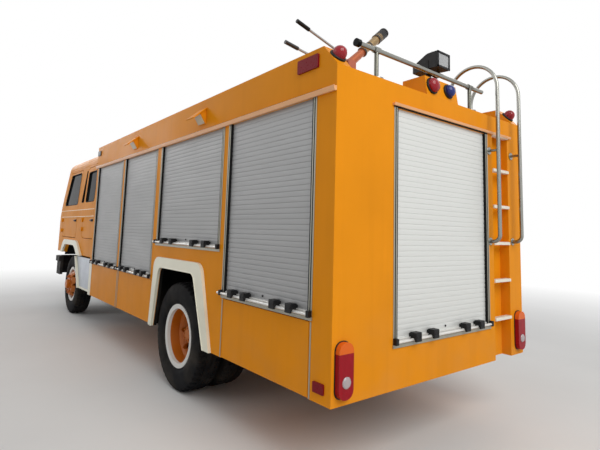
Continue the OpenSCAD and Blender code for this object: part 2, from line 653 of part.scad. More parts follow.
// How far the front flares and the mudguards stand out from the cab's side
flare_front = 34;
module step_boxes() color(alu) place() both_sides() {
    along_y(step_in, cab_half) polygon([[cab_rear + 40, STEP_LOW[1]], STEP_LOW, STEP_TOP,
        [cab_rear + 40, STEP_TOP[1]]]);
    for (x = [cab_rear + 140, cab_rear + 540]) span([x, rail_half, 800], [x + 80, step_in, 860]);
}
module mudguards() color(pale) place() both_sides() {
    along_y(body_half, body_half + 4) polygon(box_pts(LOWER_PANELS[2][1] + 6, body_bottom, body_l, locker_z));
    foot = STEP_LOW + [guard_t, 0];
    top = STEP_TOP + [guard_t, 0];
    along_y(step_in, cab_half + flare_front) polygon([STEP_LOW, foot, top, STEP_TOP]);
    along_y(cab_half, cab_half + flare_front) polygon([STEP_LOW - [25, 0], foot, top, STEP_TOP - [30, 0]]);
    along_y(cab_half, cab_half + 12)
        polygon(box_pts(cab_rear + 40, STEP_LOW[1], STEP_LOW[0], STEP_LOW[1] + 30));
}

bumper_low = 640;
bumper_mid = 900;
bumper_top = 1000;
bumper_r = 160;
bumper_back = 420;
lamp_in = 60;
// Head lamps in the bumper: [inner edge, outer edge, lower edge, upper edge]
HEAD_LAMP = [720, 980, 730, 900];
module head_lamp(g, x0, x1) along_x(x0, x1)
    polygon(rounded(box_pts(HEAD_LAMP[0] - g, HEAD_LAMP[2] - g, HEAD_LAMP[1] + g, HEAD_LAMP[3] + g), 30));
module bumper_band(half, z0, z1) translate([0, 0, z0]) linear_extrude(z1 - z0) difference() {
    polygon(rounded(box_pts(cab_front - bumper_back, -half, cab_front + bumper_out, half),
        [0, bumper_r, bumper_r, 0]));
    polygon(rounded(box_pts(cab_front - bumper_back - 80, 60 - cab_half, rail_front, cab_half - 60),
        [0, 90, 90, 0]));
}
module bumper() color(black) place() difference() {
    union() {
        bumper_band(cab_half - 10, bumper_low, bumper_mid);
        bumper_band(cab_half + 20, bumper_mid, bumper_top);
    }
    both_sides() head_lamp(tiny, cab_front + bumper_out - lamp_in, cab_front + bumper_out + 1);
}
module head_lamps() color(clear) place() both_sides()
    head_lamp(0, cab_front + bumper_out - lamp_in, cab_front + bumper_out - 3);

// Wheels: axis along +y, from the middle of the tyre outwards
rim_half = 115;
function rim_pts() = [[rim_r, rim_half], [rim_r, rim_half - 8], [bead_r, rim_half - 15],
    [bead_r, 15 - rim_half], [rim_r, 8 - rim_half], [rim_r, -rim_half], [bead_r - 18, -rim_half + 4],
    [bead_r - 22, -60], [bead_r - 22, 60], [bead_r - 18, rim_half - 4]];
disc_y = twin_spacing / 2;
disc_t = 14;
// A disc that runs from the rim to its mounting face at disc_y
function disc_pts() = [[bead_r - 20, 20], [bead_r - 20, 52], [215, 128], [195, disc_y], [100, disc_y],
    [100, disc_y - disc_t], [186, disc_y - disc_t], [202, 116], [240, 46]];
module spin_y(pts) rotate([-90, 0, 0]) rotate_extrude($fn = 96) polygon(pts);
HAND_HOLES = 8;
module wheel_disc() difference() {
    spin_y(disc_pts());
    for (i = [0:HAND_HOLES - 1]) rotate([0, i * 360 / HAND_HOLES, 0]) translate([222, 0, 0])
        rotate([-90, 0, 0]) cylinder(r = 27, h = 200, $fn = 32);
}
module hub(y0, y1, bore_end, bore_r, nose_r) difference() {
    union() {
        spin_y([[0, y0], [hub_r, y0], [hub_r, y1], [0, y1]]);
        spin_y([[0, y1 - 1], [nose_r, y1 - 1], [nose_r, y1 + 40], [nose_r - 18, y1 + 52], [0, y1 + 52]]);
    }
    spin_y([[0, y0 - 1], [bore_r, y0 - 1], [bore_r, bore_end], [0, bore_end]]);
}
hub_r = 110;
drum_r = 205;
module wheel_front(side) color(paint) place() on_side(side)
translate([front_axle_x, front_track_half, axle_z]) {
    spin_y(rim_pts());
    wheel_disc();
    hub(kingpin_y + yoke_y + 2 - front_track_half, disc_y + 10, kingpin_y + spindle_y + 1 - front_track_half,
        spindle_r + 0.05, 85);
}
module wheel_rear(side) color(paint) place() on_side(side)
translate([rear_axle_x, rear_outer_y, axle_z]) {
    spin_y(rim_pts());
    translate([0, -twin_spacing, 0]) spin_y(rim_pts());
    mirror([0, 1, 0]) wheel_disc();
    translate([0, -twin_spacing, 0]) wheel_disc();
    hub(560 - rear_outer_y, -40, stub_end + 1 - rear_outer_y, stub_r + 0.05, 80);
    spin_y([[hub_r - 1, -twin_spacing - 90], [drum_r, -twin_spacing - 90], [drum_r, -disc_y - disc_t - 5],
        [hub_r - 1, -disc_y - disc_t - 5]]);
}
// Tyre section between its beads
function tyre_pts() = let (h = tyre_w / 2, b = rim_half - 15) concat(
    [[bead_r, b], [rim_r, b + 7], [345, h - 10], [385, h], [425, h - 1], [470, h - 8], [505, h - 18],
        [tyre_r - 6, h - 32], [tyre_r, h - 48]],
    [[tyre_r, 48 - h], [tyre_r - 6, 32 - h], [505, 18 - h], [470, 8 - h], [425, 1 - h], [385, -h],
        [345, 10 - h], [rim_r, -b - 7], [bead_r, -b]],
    [[bead_r, -b + 28], [330, 32 - h], [400, 20 - h], [470, 28 - h], [500, 50 - h]],
    [[500, h - 50], [470, h - 28], [400, h - 20], [330, h - 32], [bead_r, b - 28]]);
module tyre_at(x, y) translate([x, y, axle_z]) spin_y(tyre_pts());
module tyre_front(side) color(black) place() on_side(side) tyre_at(front_axle_x, front_track_half);
module tyres_rear(side) color(black) place() on_side(side)
    for (i = [0, 1]) tyre_at(rear_axle_x, rear_outer_y - i * twin_spacing);

// Cab

tunnel_rear = engine_rear - 60;
tunnel_front = engine_front + 60;
tunnel_half = 430;
tunnel_top = engine_top + 190;
tunnel_wall = 40;
corner_r = 120;
screen_r = 130;
front_tuck = 50;
roof_r = 140;
roof_front_r = 330;
belt_low = 1772;
belt_top = 1906;
belt_out = 6;
// x of the windshield's plane at height z, drawn in by i
function screen_x(z, i = 0) = cab_front - i / cos(screen_lean) - (z - screen_foot) * tan(screen_lean);
// Side-view outline of the cab, drawn in by i
function cab_side(i) = rounded([
    [cab_rear + i, cab_bottom + i], [cab_rear + i, cab_top - i], [screen_x(cab_top - i, i), cab_top - i],
    [cab_front - i, screen_foot - i * tan(screen_lean / 2)], [cab_front - i - front_tuck, cab_bottom + i]],
    [20, 60, roof_front_r - i, 200, 20]);
function cab_plan(i) = rounded(box_pts(cab_rear + i, i - cab_half, cab_front - i, cab_half - i),
    [30, corner_r - i, corner_r - i, 30]);
// Half width of the cab at height z over its belt, drawn in by i
function side_y(z, i = 0) = cab_half - i - cab_lean * (z - belt_top) / (cab_top - belt_top);
// The sides are upright up to the belt and lean in above it
function cab_section(i) = let (top = side_y(cab_top - i, i)) rounded([
    [i - cab_half, cab_bottom + i], [cab_half - i, cab_bottom + i], [cab_half - i, belt_top],
    [top, cab_top - i], [-top, cab_top - i], [i - cab_half, belt_top]], [20, 20, 0, roof_r - i, roof_r - i, 0]);
// The leaned front with its rounder corners, half a millimetre outside the other outlines
function screen_plan(i) = rounded(box_pts(-cab_l, i - cab_half - 0.5, 0.5 - i, cab_half - i + 0.5),
    [0, screen_r - i, screen_r - i, 0], 6);
module cab_solid(i) intersection() {
    along_y(-cab_half + i, cab_half - i) polygon(cab_side(i));
    linear_extrude(big) polygon(cab_plan(i));
    along_x(0, big) polygon(cab_section(i));
    translate([cab_front, 0, screen_foot]) rotate([0, -screen_lean, 0]) translate([0, 0, -1500])
        linear_extrude(4000) polygon(screen_plan(i));
}
// A sheet of the cab's outline, t thick and drawn in by i
module cab_skin(i, t) difference() {
    cab_solid(i);
    cab_solid(i + t);
}
// Extrudes an outline through the left side of the cab
module through_side() along_y(cab_half - cab_wall - cab_lean - 20, cab_half + 1) children();
// Door outlines, grown by g
door_low = 1400;
door_top = 2640;
front_door_rear = front_axle_x - 360;
front_door_front = cab_front - 380;
rear_door_rear = cab_rear + 85;
rear_door_front = cab_rear + 785;
function front_door(g) = rounded([[front_door_rear - g, door_low - g], [front_door_rear - g, door_top + g],
    [screen_x(door_top) - 270 + g, door_top + g], [front_door_front + g, sill_z - 50],
    [front_door_front + g, door_low - g]], [60, 40, 60, 80, 80]);
function rear_door(g) = rounded([[rear_door_rear - g, door_low + 10 - g], [rear_door_rear - g, door_top + g],
    [rear_door_front + g, door_top + g], [rear_door_front + g, door_low + 10 - g]], [40, 40, 40, 90]);
function door(kind, g) = kind == "front" ? front_door(g) : rear_door(g);
FRONT_WINDOW = [[front_axle_x - 300, sill_z], [front_axle_x - 290, window_top],
    [screen_x(window_top) - 350, window_top], [screen_x(sill_z) - 350, sill_z]];
REAR_WINDOW = box_pts(cab_rear + 190, sill_z + 25, cab_rear + 735, window_top - 40);
QUARTER_WINDOW = [[cab_rear + 845, sill_z + 25], [cab_rear + 845, window_top], [cab_rear + 900, window_top],
    [cab_rear + 1020, sill_z + 25]];
function window(kind) = rounded(kind == "front" ? FRONT_WINDOW : REAR_WINDOW, 50);
screen_low = 1950;
screen_high = 2620;
SCREEN = [[130 - cab_half, screen_low], [cab_half - 130, screen_low], [cab_half - 175, screen_high],
    [175 - cab_half, screen_high]];
module screen_prism() along_x(cab_front - 700, cab_front + 1) polygon(rounded(SCREEN, 70));
// Corners of the front arch, from the axle: [x, z] of rear foot, rear top, front top, front foot
FLARE_OUTER = [[-925, cab_bottom], [-560, 1350], [470, 1350], [650, cab_bottom]];
FLARE_INNER = [[-800, 1000], [-420, 1262], [400, 1262], [560, 1000]];
function at_front_axle(pts) = [for (p = pts) [front_axle_x + p[0], p[1]]];
module arch_inner() polygon(rounded(at_front_axle(FLARE_INNER), [0, 330, 260, 0]));
// Raised band under the windows
module door_belt(x0, x1) along_x(x0, x1) polygon([[cab_half - 1, belt_low], [cab_half, belt_low],
    [cab_half + belt_out, belt_low + 14], [cab_half + belt_out, belt_top - 14], [cab_half, belt_top],
    [cab_half - 1, belt_top]]);
module belt(x0, x1) both_sides() door_belt(x0, x1);

module cab_shell() color(paint) place() difference() {
    union() {
        difference() {
            cab_solid(0);
            // the cabin over the floor and the engine tunnel
            difference() {
                cab_solid(cab_wall);
                span([0, -big, 0], [big, big, cab_floor]);
                span([tunnel_rear, -tunnel_half, 0], [tunnel_front, tunnel_half, tunnel_top]);
            }
            // open under the floor
            linear_extrude(cab_floor - cab_wall) polygon(cab_plan(cab_wall));
            span([tunnel_rear + tunnel_wall, tunnel_wall - tunnel_half, 0],
                [tunnel_front - tunnel_wall, tunnel_half - tunnel_wall, tunnel_top - tunnel_wall]);
            along_y(-big, big) arch_inner();
        }
        belt(cab_rear + 30, rear_door_rear - door_gap);
        belt(rear_door_front + door_gap, front_door_rear - door_gap);
        belt(front_door_front + door_gap, front_door_front + 130);
        both_sides() {
            span([tilt_x - lug_r, rail_half - lug_t, tilt_z],
                [cab_front - cab_wall + 1, rail_half, cab_floor - cab_wall + 1]);
            translate([tilt_x, rail_half - lug_t, tilt_z]) rotate([-90, 0, 0])
                cylinder(r = lug_r, h = lug_t, $fn = 64);
            for (h = DOOR_HINGES) for (z = h[1]) cab_hinge([h[0], z]);
        }
    }
    both_sides() {
        for (k = ["front", "rear"]) through_side() polygon(door(k, door_gap));
        through_side() polygon(rounded(QUARTER_WINDOW, 25));
        translate([tilt_x, 0, tilt_z]) rotate([-90, 0, 0])
            cylinder(r = tilt_pin_r + 0.05, h = rail_half + 50, $fn = 48);
    }
    screen_prism();
}

glass_in = 22;
glass_t = 6;
module cab_glass() color(clear) place() intersection() {
    cab_skin(glass_in, glass_t);
    union() {
        screen_prism();
        both_sides() through_side() polygon(rounded(QUARTER_WINDOW, 25));
    }
}

// Door hinges: [x of the axis, heights]; the axis stands off the skin
hinge_r = 12;
hinge_pin_r = 6;
hinge_h = 36;
DOOR_HINGES = [[front_door_front + 5, [1520, 1720]], [rear_door_front + 5, [1560, 1720]]];
module cab_hinge(at) translate([at[0], cab_half, at[1]]) {
    translate([0, hinge_r, -hinge_h]) cylinder(r = hinge_r, h = hinge_h - 0.5, $fn = 32);
    translate([0, hinge_r, -1]) cylinder(r = hinge_pin_r, h = hinge_h + 1, $fn = 32);
    span([0, 0, -hinge_h], [46, 7, -0.5]);
}
module door_hinge(at) translate([at[0], cab_half, at[1]]) difference() {
    union() {
        translate([0, hinge_r, 0]) cylinder(r = hinge_r, h = hinge_h, $fn = 32);
        span([-50, 0, 0], [0, 7, hinge_h]);
    }
    translate([0, hinge_r, -1]) cylinder(r = hinge_pin_r + 0.05, h = hinge_h + 2, $fn = 32);
}
module door_panel(kind, side) color(paint) place() on_side(side) {
    h = DOOR_HINGES[kind == "front" ? 0 : 1];
    difference() {
        intersection() {
            cab_skin(0, cab_wall);
            through_side() polygon(door(kind, 0));
        }
        through_side() polygon(window(kind));
    }
    door_belt(kind == "front" ? front_door_rear : rear_door_rear, h[0] - 5);
    for (z = h[1]) door_hinge([h[0], z]);
}
module door_glass(kind, side) color(clear) place() on_side(side) intersection() {
    cab_skin(glass_in, glass_t);
    through_side() polygon(window(kind));
}

module front_arches() color(pale) place() both_sides() along_y(cab_half, cab_half + flare_front) difference() {
    polygon(rounded(at_front_axle(FLARE_OUTER), [0, 320, 240, 0]));
    arch_inner();
}

// Dark liner over each front wheel, under the cab's floor
liner_in = tunnel_half + 20;
liner_t = 10;
// Corners of the liner from the axle, and of the space inside it
LINER = [[-660, 1130], [-560, 1300], [-500, 1335], [540, 1335], [650, 1230], [690, 1040]];
LINER_IN = [LINER[0] + [liner_t, -1], LINER[1] + [liner_t, -liner_t], LINER[2] + [liner_t, -liner_t],
    LINER[3] - [liner_t, liner_t], LINER[4] - [liner_t, liner_t], LINER[5] - [liner_t, 1]];
module wheel_liners() color(black) place() both_sides() along_y(liner_in, cab_half - cab_wall - tiny) {
    difference() {
        polygon(rounded(at_front_axle(LINER), [0, 60, 60, 90, 90, 0]));
        polygon(rounded(at_front_axle(LINER_IN), [0, 50, 50, 80, 80, 0]));
    }
    polygon(box_pts(front_axle_x - 480, 1334, front_axle_x + 520, cab_floor - cab_wall - tiny));
}

// Mirrors folded in ahead of the windshield's corners
mirror_x = cab_front - 110;
mirror_y = cab_half - 160;
mirror_rod_d = 24;
module mirrors() color(black) place() both_sides() difference() {
    union() {
        for (z = [2060, 2430]) rod([screen_x(z) - 200, mirror_y, z], [mirror_x, mirror_y, z], mirror_rod_d);
        rod([mirror_x, mirror_y, 2045], [mirror_x, mirror_y, 2445], mirror_rod_d);
        span([mirror_x - 15, mirror_y - 170, 2090], [mirror_x + 45, mirror_y + 50, 2400]);
    }
    cab_solid(0);
}

module seat(x, y0, y1, z, base) {
    span([x - 20, y0 + 60, base], [x + 380, y1 - 60, z]);
    along_y(y0, y1) polygon(rounded([[x - 60, z], [x + 440, z], [x + 440, z + 120], [x + 60, z + 120],
        [x - 30, z + 680], [x - 130, z + 680]], [30, 40, 40, 20, 50, 40]));
}
module seats() color([0.25, 0.25, 0.27]) place() {
    both_sides() seat(front_axle_x - 200, 470, 960, cab_floor + 230, cab_floor);
    seat(cab_rear + 215, -1020, 1020, cab_floor + 230, cab_floor);
}

// Dashboard with the steering wheel on the left
wheel_x = cab_front - 560;
wheel_y = 640;
wheel_z = 1980;
wheel_ring_r = 225;
wheel_lean = 40;
module dashboard() color(black) place() {
    intersection() {
        along_y(-cab_half, cab_half) polygon(rounded([
            [cab_front - 420, 1640], [cab_front, 1640], [cab_front, 1860], [cab_front - 190, 1900],
            [cab_front - 380, 1900], [cab_front - 450, 1840]], [30, 0, 0, 20, 40, 40]));
        cab_solid(cab_wall + tiny);
    }
    rod([cab_front - 360, wheel_y, 1740], [wheel_x, wheel_y, wheel_z], 60);
    translate([wheel_x, wheel_y, wheel_z]) rotate([0, -wheel_lean, 0]) {
        rotate_extrude($fn = 96) translate([wheel_ring_r, 0]) circle(r = 16, $fn = 24);
        for (a = [0, 120, 240]) rotate([0, 0, a]) translate([0, -14, -8]) cube([wheel_ring_r, 28, 14]);
        cylinder(r = 50, h = 30, center = true, $fn = 48);
    }
}

// x of the cab's front under the windshield, at height z
function front_x(z) = cab_front - front_tuck * (screen_foot - z) / (screen_foot - cab_bottom);
GRILLE = [700, 1140, 1560];
grille_out = 14;
module grille() color(black) place() difference() {
    union() {
        for (i = [0:5]) let (z = GRILLE[1] + 10 + i * 70)
            span([cab_front - cab_wall, -GRILLE[0], z], [front_x(z) + grille_out, GRILLE[0], z + 40]);
        for (y = [-GRILLE[0], -10, GRILLE[0] - 20]) along_y(y, y + 20) polygon([
            [front_x(GRILLE[1]) + 10, GRILLE[1]], [front_x(GRILLE[2]) + 10, GRILLE[2]],
            [cab_front - cab_wall, GRILLE[2]], [cab_front - cab_wall, GRILLE[1]]]);
    }
    cab_solid(0);
}

chassis_frame();
front_axle();
rear_axle();
leaf_springs();
prop_shaft();
engine();
tanks();
body_shell();
rear_arches();
shutter_frames();
shutters();
lift_bars();
ladder_rungs();
hand_rails();
rear_lamps();
beacons();
lamp_box();
work_lamp();
side_lamps();
markers();
monitor_riser();
monitor_swivel();
monitor_barrel();
step_boxes();
mudguards();
bumper();
head_lamps();
lower_panel("left", 0);  // lower_panel_left_1
lower_panel("left", 1);  // lower_panel_left_2
lower_panel("left", 2);  // lower_panel_left_3
lower_panel("right", 0);  // lower_panel_right_1
lower_panel("right", 1);  // lower_panel_right_2
lower_panel("right", 2);  // lower_panel_right_3
knuckle("left");  // knuckle_left
knuckle("right");  // knuckle_right
tie_rod();
wheel_front("left");  // wheel_front_left
wheel_front("right");  // wheel_front_right
wheel_rear("left");  // wheel_rear_left
wheel_rear("right");  // wheel_rear_right
tyre_front("left");  // tyre_front_left
tyre_front("right");  // tyre_front_right
tyres_rear("left");  // tyres_rear_left
tyres_rear("right");  // tyres_rear_right
cab_shell();
cab_glass();
front_arches();
wheel_liners();
mirrors();
seats();
dashboard();
grille();
door_panel("front", "left");  // door_front_left
door_panel("front", "right");  // door_front_right
door_panel("rear", "left");  // door_rear_left
door_panel("rear", "right");  // door_rear_right
door_glass("front", "left");  // door_glass_front_left
door_glass("front", "right");  // door_glass_front_right
door_glass("rear", "left");  // door_glass_rear_left
door_glass("rear", "right");  // door_glass_rear_right
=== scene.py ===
"""The looks of a two-axle crew-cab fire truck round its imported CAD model. Metres, +X forward, +Z up."""
import json
import math

import bmesh
import bpy
from mathutils import Matrix, Vector


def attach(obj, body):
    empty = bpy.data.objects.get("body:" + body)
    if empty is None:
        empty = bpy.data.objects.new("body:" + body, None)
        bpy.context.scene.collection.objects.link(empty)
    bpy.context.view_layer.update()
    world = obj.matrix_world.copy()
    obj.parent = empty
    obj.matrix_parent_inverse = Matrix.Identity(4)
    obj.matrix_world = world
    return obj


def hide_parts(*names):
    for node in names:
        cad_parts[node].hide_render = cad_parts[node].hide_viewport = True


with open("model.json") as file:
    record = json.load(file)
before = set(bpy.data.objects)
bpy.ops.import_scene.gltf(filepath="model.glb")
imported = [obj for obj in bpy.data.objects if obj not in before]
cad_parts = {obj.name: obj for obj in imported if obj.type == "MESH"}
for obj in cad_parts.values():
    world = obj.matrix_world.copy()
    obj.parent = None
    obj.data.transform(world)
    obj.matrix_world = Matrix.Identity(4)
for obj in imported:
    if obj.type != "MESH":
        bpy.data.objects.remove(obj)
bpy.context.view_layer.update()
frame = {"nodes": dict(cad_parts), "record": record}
nodes = frame["nodes"]

# Places along the truck are in millimetres from the body's rear face, widths and heights in metres
REAR_X = -4230
BODY_L = 5700
BODY_HALF = 1.230
BODY_LOW = 0.540
DECK = 2.730
CAB_REAR = 5760
CAB_FRONT = 8520
CAB_HALF = 1.190
FRONT_AXLE = 7350
REAR_AXLE = 2350
AXLE_Z = 0.530
MONITOR = (1200, 3.350)
LIFT = math.radians(43)
LADDER = (-1.010, -0.730)
SIDES = (("left", 1), ("right", -1))


def at(x):
    """Frame x, in metres, of a place measured from the body's rear face in millimetres."""
    return (x + REAR_X) / 1000


# Materials

def new_material(name):
    m = bpy.data.materials.new(name)
    m.use_nodes = True
    return m, m.node_tree, m.node_tree.nodes["Principled BSDF"]


def fill(n, **values):
    """Sets a node's inputs. An underscore stands for a space in an input's name."""
    for key, value in values.items():
        n.inputs[key.replace("_", " ")].default_value = value


def node(nt, kind, **values):
    n = nt.nodes.new("ShaderNode" + kind)
    fill(n, **values)
    return n


def noise(nt, coord, scale, detail, stretch=None):
    n = node(nt, "TexNoise", Scale=scale, Detail=detail)
    if stretch:
        mp = node(nt, "Mapping", Scale=stretch)
        nt.links.new(coord, mp.inputs["Vector"])
        coord = mp.outputs["Vector"]
    nt.links.new(coord, n.inputs["Vector"])
    return n.outputs["Fac"]


def ramp(nt, fac, lo, hi, a=0.0, b=1.0):
    """Maps lo to hi onto a to b."""
    n = node(nt, "MapRange", From_Min=lo, From_Max=hi, To_Min=a, To_Max=b)
    nt.links.new(fac, n.inputs["Value"])
    return n.outputs["Result"]


def mix(nt, fac, a, b):
    n = node(nt, "Mix")
    n.data_type = "RGBA"
    nt.links.new(fac, n.inputs["Factor"])
    for key, value in ((6, a), (7, b)):
        if isinstance(value, (tuple, list)):
            n.inputs[key].default_value = (*value[:3], 1)
        else:
            nt.links.new(value, n.inputs[key])
    return n.outputs[2]


def math_node(nt, op, a, b=None):
    n = node(nt, "Math")
    n.operation = op
    for i, value in enumerate((a, b)):
        if value is None:
            continue
        if isinstance(value, (int, float)):
            n.inputs[i].default_value = value
        else:
            nt.links.new(value, n.inputs[i])
    return n.outputs[0]


def times(nt, a, b):
    return math_node(nt, "MULTIPLY", a, b)


def relief(nt, bsdf, height, strength, depth=0.002):
    """Bumps a surface by a height map."""
    b = node(nt, "Bump", Strength=strength, Distance=depth)
    nt.links.new(height, b.inputs["Height"])
    nt.links.new(b.outputs["Normal"], bsdf.inputs["Normal"])


def coords(nt):
    """Rest coordinates: every piece's mesh is at its rest place and its object at the origin."""
    tc = node(nt, "TexCoord")
    sep = node(nt, "SeparateXYZ")
    nt.links.new(tc.outputs["Object"], sep.inputs[0])
    return tc.outputs["Object"], sep.outputs["X"], sep.outputs["Y"], sep.outputs["Z"]


ORANGE = (0.78, 0.275, 0.008)
CREAM = (0.86, 0.83, 0.67)
DUST = (0.32, 0.26, 0.19)
STREAK = (0.62, 0.21, 0.006)
BLACK = (0.010, 0.010, 0.010)
GRIP_BLACK = (0.014, 0.014, 0.014)
LEVER_STEEL = (0.40, 0.40, 0.40)
DUST_HEIGHTS = (0.35, 1.3)


def surface(name, color, rough, metal=0.0, coat=0.0, var=0.05, scale=6.0, bump=0.0, bump_scale=200.0,
            stretch=None, grime=0.0, pick=None, gloss=0.5):
    """A procedural surface. pick(nt, x, y, z) gives [(mask, colour)] that are laid over the base colour.

    var is how far the base colour strays, grime how much dust lies low down, and gloss the specular level.
    """
    m, nt, bsdf = new_material(name)
    coord, x, y, z = coords(nt)
    fac = ramp(nt, noise(nt, coord, scale, 4.0, stretch), 0.3, 0.7)
    light = tuple(min(1.0, c * (1 + var)) for c in color)
    dark = tuple(c * (1 - var) for c in color)
    col = mix(nt, fac, dark, light)
    if pick:
        for mask, shade in pick(nt, x, y, z):
            col = mix(nt, mask, col, shade)
    if grime:
        low = ramp(nt, z, *DUST_HEIGHTS, grime, 0.0)
        spots = ramp(nt, noise(nt, coord, 3.5, 6.0), 0.42, 0.68)
        col = mix(nt, times(nt, low, spots), col, DUST)
    nt.links.new(col, bsdf.inputs["Base Color"])
    r = ramp(nt, noise(nt, coord, scale * 2.3, 5.0, stretch), 0.3, 0.7, max(0.03, rough - 0.06), rough + 0.06)
    nt.links.new(r, bsdf.inputs["Roughness"])
    fill(bsdf, Metallic=metal, Coat_Weight=coat, Coat_Roughness=0.08, Specular_IOR_Level=gloss)
    if bump:
        relief(nt, bsdf, noise(nt, coord, bump_scale, 2.0, stretch), bump)
    return m


def past(nt, value, edge, soft=0.001):
    """1 where value is over edge, with a soft change."""
    return ramp(nt, value, edge - soft, edge + soft)


def between(nt, value, lo, hi, soft=0.0015):
    """1 where value lies from lo to hi, with soft edges."""
    up = past(nt, value, lo, soft)
    down = ramp(nt, value, hi - soft, hi + soft, 1.0, 0.0)
    return times(nt, up, down)


# Bounds of the painted shade inside the rear wheel housings: half its length in millimetres, its top, and a
# level below everything
HOUSING_HALF = 700
HOUSING_TOP = 1.215
BELOW_ALL = -1.0


def streaks_and_housing_shade(nt, x, y, z):
    """Faint rain streaks that run down the sides, and painted shade: black inside the rear wheel housings."""
    coord = nt.nodes["Texture Coordinate"].outputs["Object"]
    fac = ramp(nt, noise(nt, coord, 9.0, 3.0, (1.0, 1.0, 0.05)), 0.5, 0.75, 0.0, 0.22)
    across = between(nt, math_node(nt, "ABSOLUTE", y), BELOW_ALL, BODY_HALF - 0.004)
    along = between(nt, x, at(REAR_AXLE - HOUSING_HALF), at(REAR_AXLE + HOUSING_HALF))
    # Painted shade: black inside the rear wheel housings
    housing_shade = times(nt, along, times(nt, across, between(nt, z, BELOW_ALL, HOUSING_TOP)))
    return [(fac, STREAK), (housing_shade, BLACK)]


def rear_shutter_painted_light(nt, x, y, z):
    """Painted light: the rear shutter is painted whiter than the side ones, as the lit face beside the sides
    in shade.
    """
    return [(ramp(nt, x, at(60), at(70), 1.0, 0.0), (0.70, 0.71, 0.69))]


def lamp_bands(nt, x, y, z):
    """Amber over red in the tall rear lamps."""
    return [(between(nt, z, 0.862, 1.2), (0.72, 0.13, 0.012))]


def beacon_shade(nt, x, y, z):
    """Blue for the right one of the two domes on the box."""
    return [(between(nt, y, -0.3, 0.0), (0.008, 0.020, 0.16))]


def marker_shade(nt, x, y, z):
    """Dark blue for the markers at the body's front end."""
    return [(between(nt, x, at(5000), at(6000)), (0.010, 0.014, 0.030))]


def distance(nt, a, b):
    """Distance from the origin of the point (a, b)."""
    return math_node(nt, "SQRT", math_node(nt, "ADD", times(nt, a, a), times(nt, b, b)))


# (axle, y from which the rim is pale)
RIM_EDGES = ((REAR_AXLE, 1.150), (FRONT_AXLE, 1.060))
RIM_RING = (0.258, 0.4)


def wheel_shade(nt, x, y, z):
    """A pale ring on the rim's outside, and an orange disc and barrel."""
    masks = []
    for axle, edge in RIM_EDGES:
        dx = math_node(nt, "SUBTRACT", x, at(axle))
        dz = math_node(nt, "SUBTRACT", z, AXLE_Z)
        ring = between(nt, distance(nt, dx, dz), *RIM_RING, 0.002)
        out = past(nt, math_node(nt, "ABSOLUTE", y), edge, 0.002)
        masks.append((times(nt, ring, out), (0.74, 0.73, 0.69)))
    return masks


def rail_shade(nt, x, y, z):
    """A black knob at the roof rail's left end, and dull grey posts under it."""
    on_roof = times(nt, between(nt, x, at(30), at(92)), past(nt, z, DECK + 0.006, 0.002))
    low = times(nt, on_roof, ramp(nt, z, DECK + 0.206, DECK + 0.210, 1.0, 0.0))
    knob = times(nt, on_roof, past(nt, y, 0.963))
    return [(low, (0.13, 0.13, 0.11)), (knob, BLACK)]


# Along the barrel: where the painted root ends, and where the nozzle begins and ends
ROOT_END = 0.325
NOZZLE_TIP = (0.705, 0.9)
# To the left of the middle: where a lever begins, and its black grip
BARREL_LEVER = (0.070, 0.526)
SWIVEL_LEVER = (0.052, 0.574)


def lever_masks(nt, y, lever, grip):
    return [(past(nt, y, lever), LEVER_STEEL), (past(nt, y, grip, 0.002), GRIP_BLACK)]


def barrel_shade(nt, x, y, z):
    """Painted root, bronze tube and dark nozzle, with a steel lever and its black grip."""
    dy = times(nt, y, -math.cos(LIFT))
    dz = times(nt, math_node(nt, "SUBTRACT", z, MONITOR[1]), math.sin(LIFT))
    along = math_node(nt, "ADD", dy, dz)
    root = ramp(nt, along, ROOT_END - 0.001, ROOT_END + 0.001, 1.0, 0.0)
    tip = between(nt, along, *NOZZLE_TIP)
    return [(root, (0.42, 0.12, 0.05)), (tip, (0.02, 0.02, 0.02)), *lever_masks(nt, y, *BARREL_LEVER)]


def swivel_shade(nt, x, y, z):
    """The swivel's own lever and grip."""
    return lever_masks(nt, y, *SWIVEL_LEVER)


def glassy(name, color, rough, transmission=0.0, gloss=0.5):
    m, nt, bsdf = new_material(name)
    coord = coords(nt)[0]
    fac = ramp(nt, noise(nt, coord, 2.5, 2.0), 0.35, 0.65)
    nt.links.new(mix(nt, fac, tuple(c * 0.92 for c in color), color), bsdf.inputs["Base Color"])
    fill(bsdf, Roughness=rough, Transmission_Weight=transmission, Specular_IOR_Level=gloss)
    return m


def parts(m):
    """A surface's node tree, its shader and its rest coordinates."""
    nt = m.node_tree
    return nt, nt.nodes["Principled BSDF"], nt.nodes["Texture Coordinate"].outputs["Object"]


def chequer(name, color):
    """Raised chequers on step plate."""
    m = surface(name, color, 0.38, 0.85, var=0.08, scale=5.0)
    nt, bsdf, coord = parts(m)
    mp = node(nt, "Mapping", Rotation=(0, 0.785, 0.785))
    nt.links.new(coord, mp.inputs["Vector"])
    ch = node(nt, "TexChecker", Scale=60.0)
    nt.links.new(mp.outputs["Vector"], ch.inputs["Vector"])
    relief(nt, bsdf, ch.outputs["Fac"], 0.5)
    return m


def weave(name, color):
    """Cloth, with two crossed waves as its threads."""
    m = surface(name, color, 0.85, var=0.12, scale=40.0)
    nt, bsdf, coord = parts(m)
    heights = []
    for direction in ("X", "Z"):
        w = node(nt, "TexWave", Scale=120.0)
        w.bands_direction = direction
        nt.links.new(coord, w.inputs["Vector"])
        heights.append(w.outputs["Fac"])
    relief(nt, bsdf, times(nt, *heights), 0.35, 0.0015)
    fill(bsdf, Sheen_Weight=0.3)
    return m


M = {}


def look(name, *values, kind=surface, **more):
    M[name] = kind(name, *values, **more)
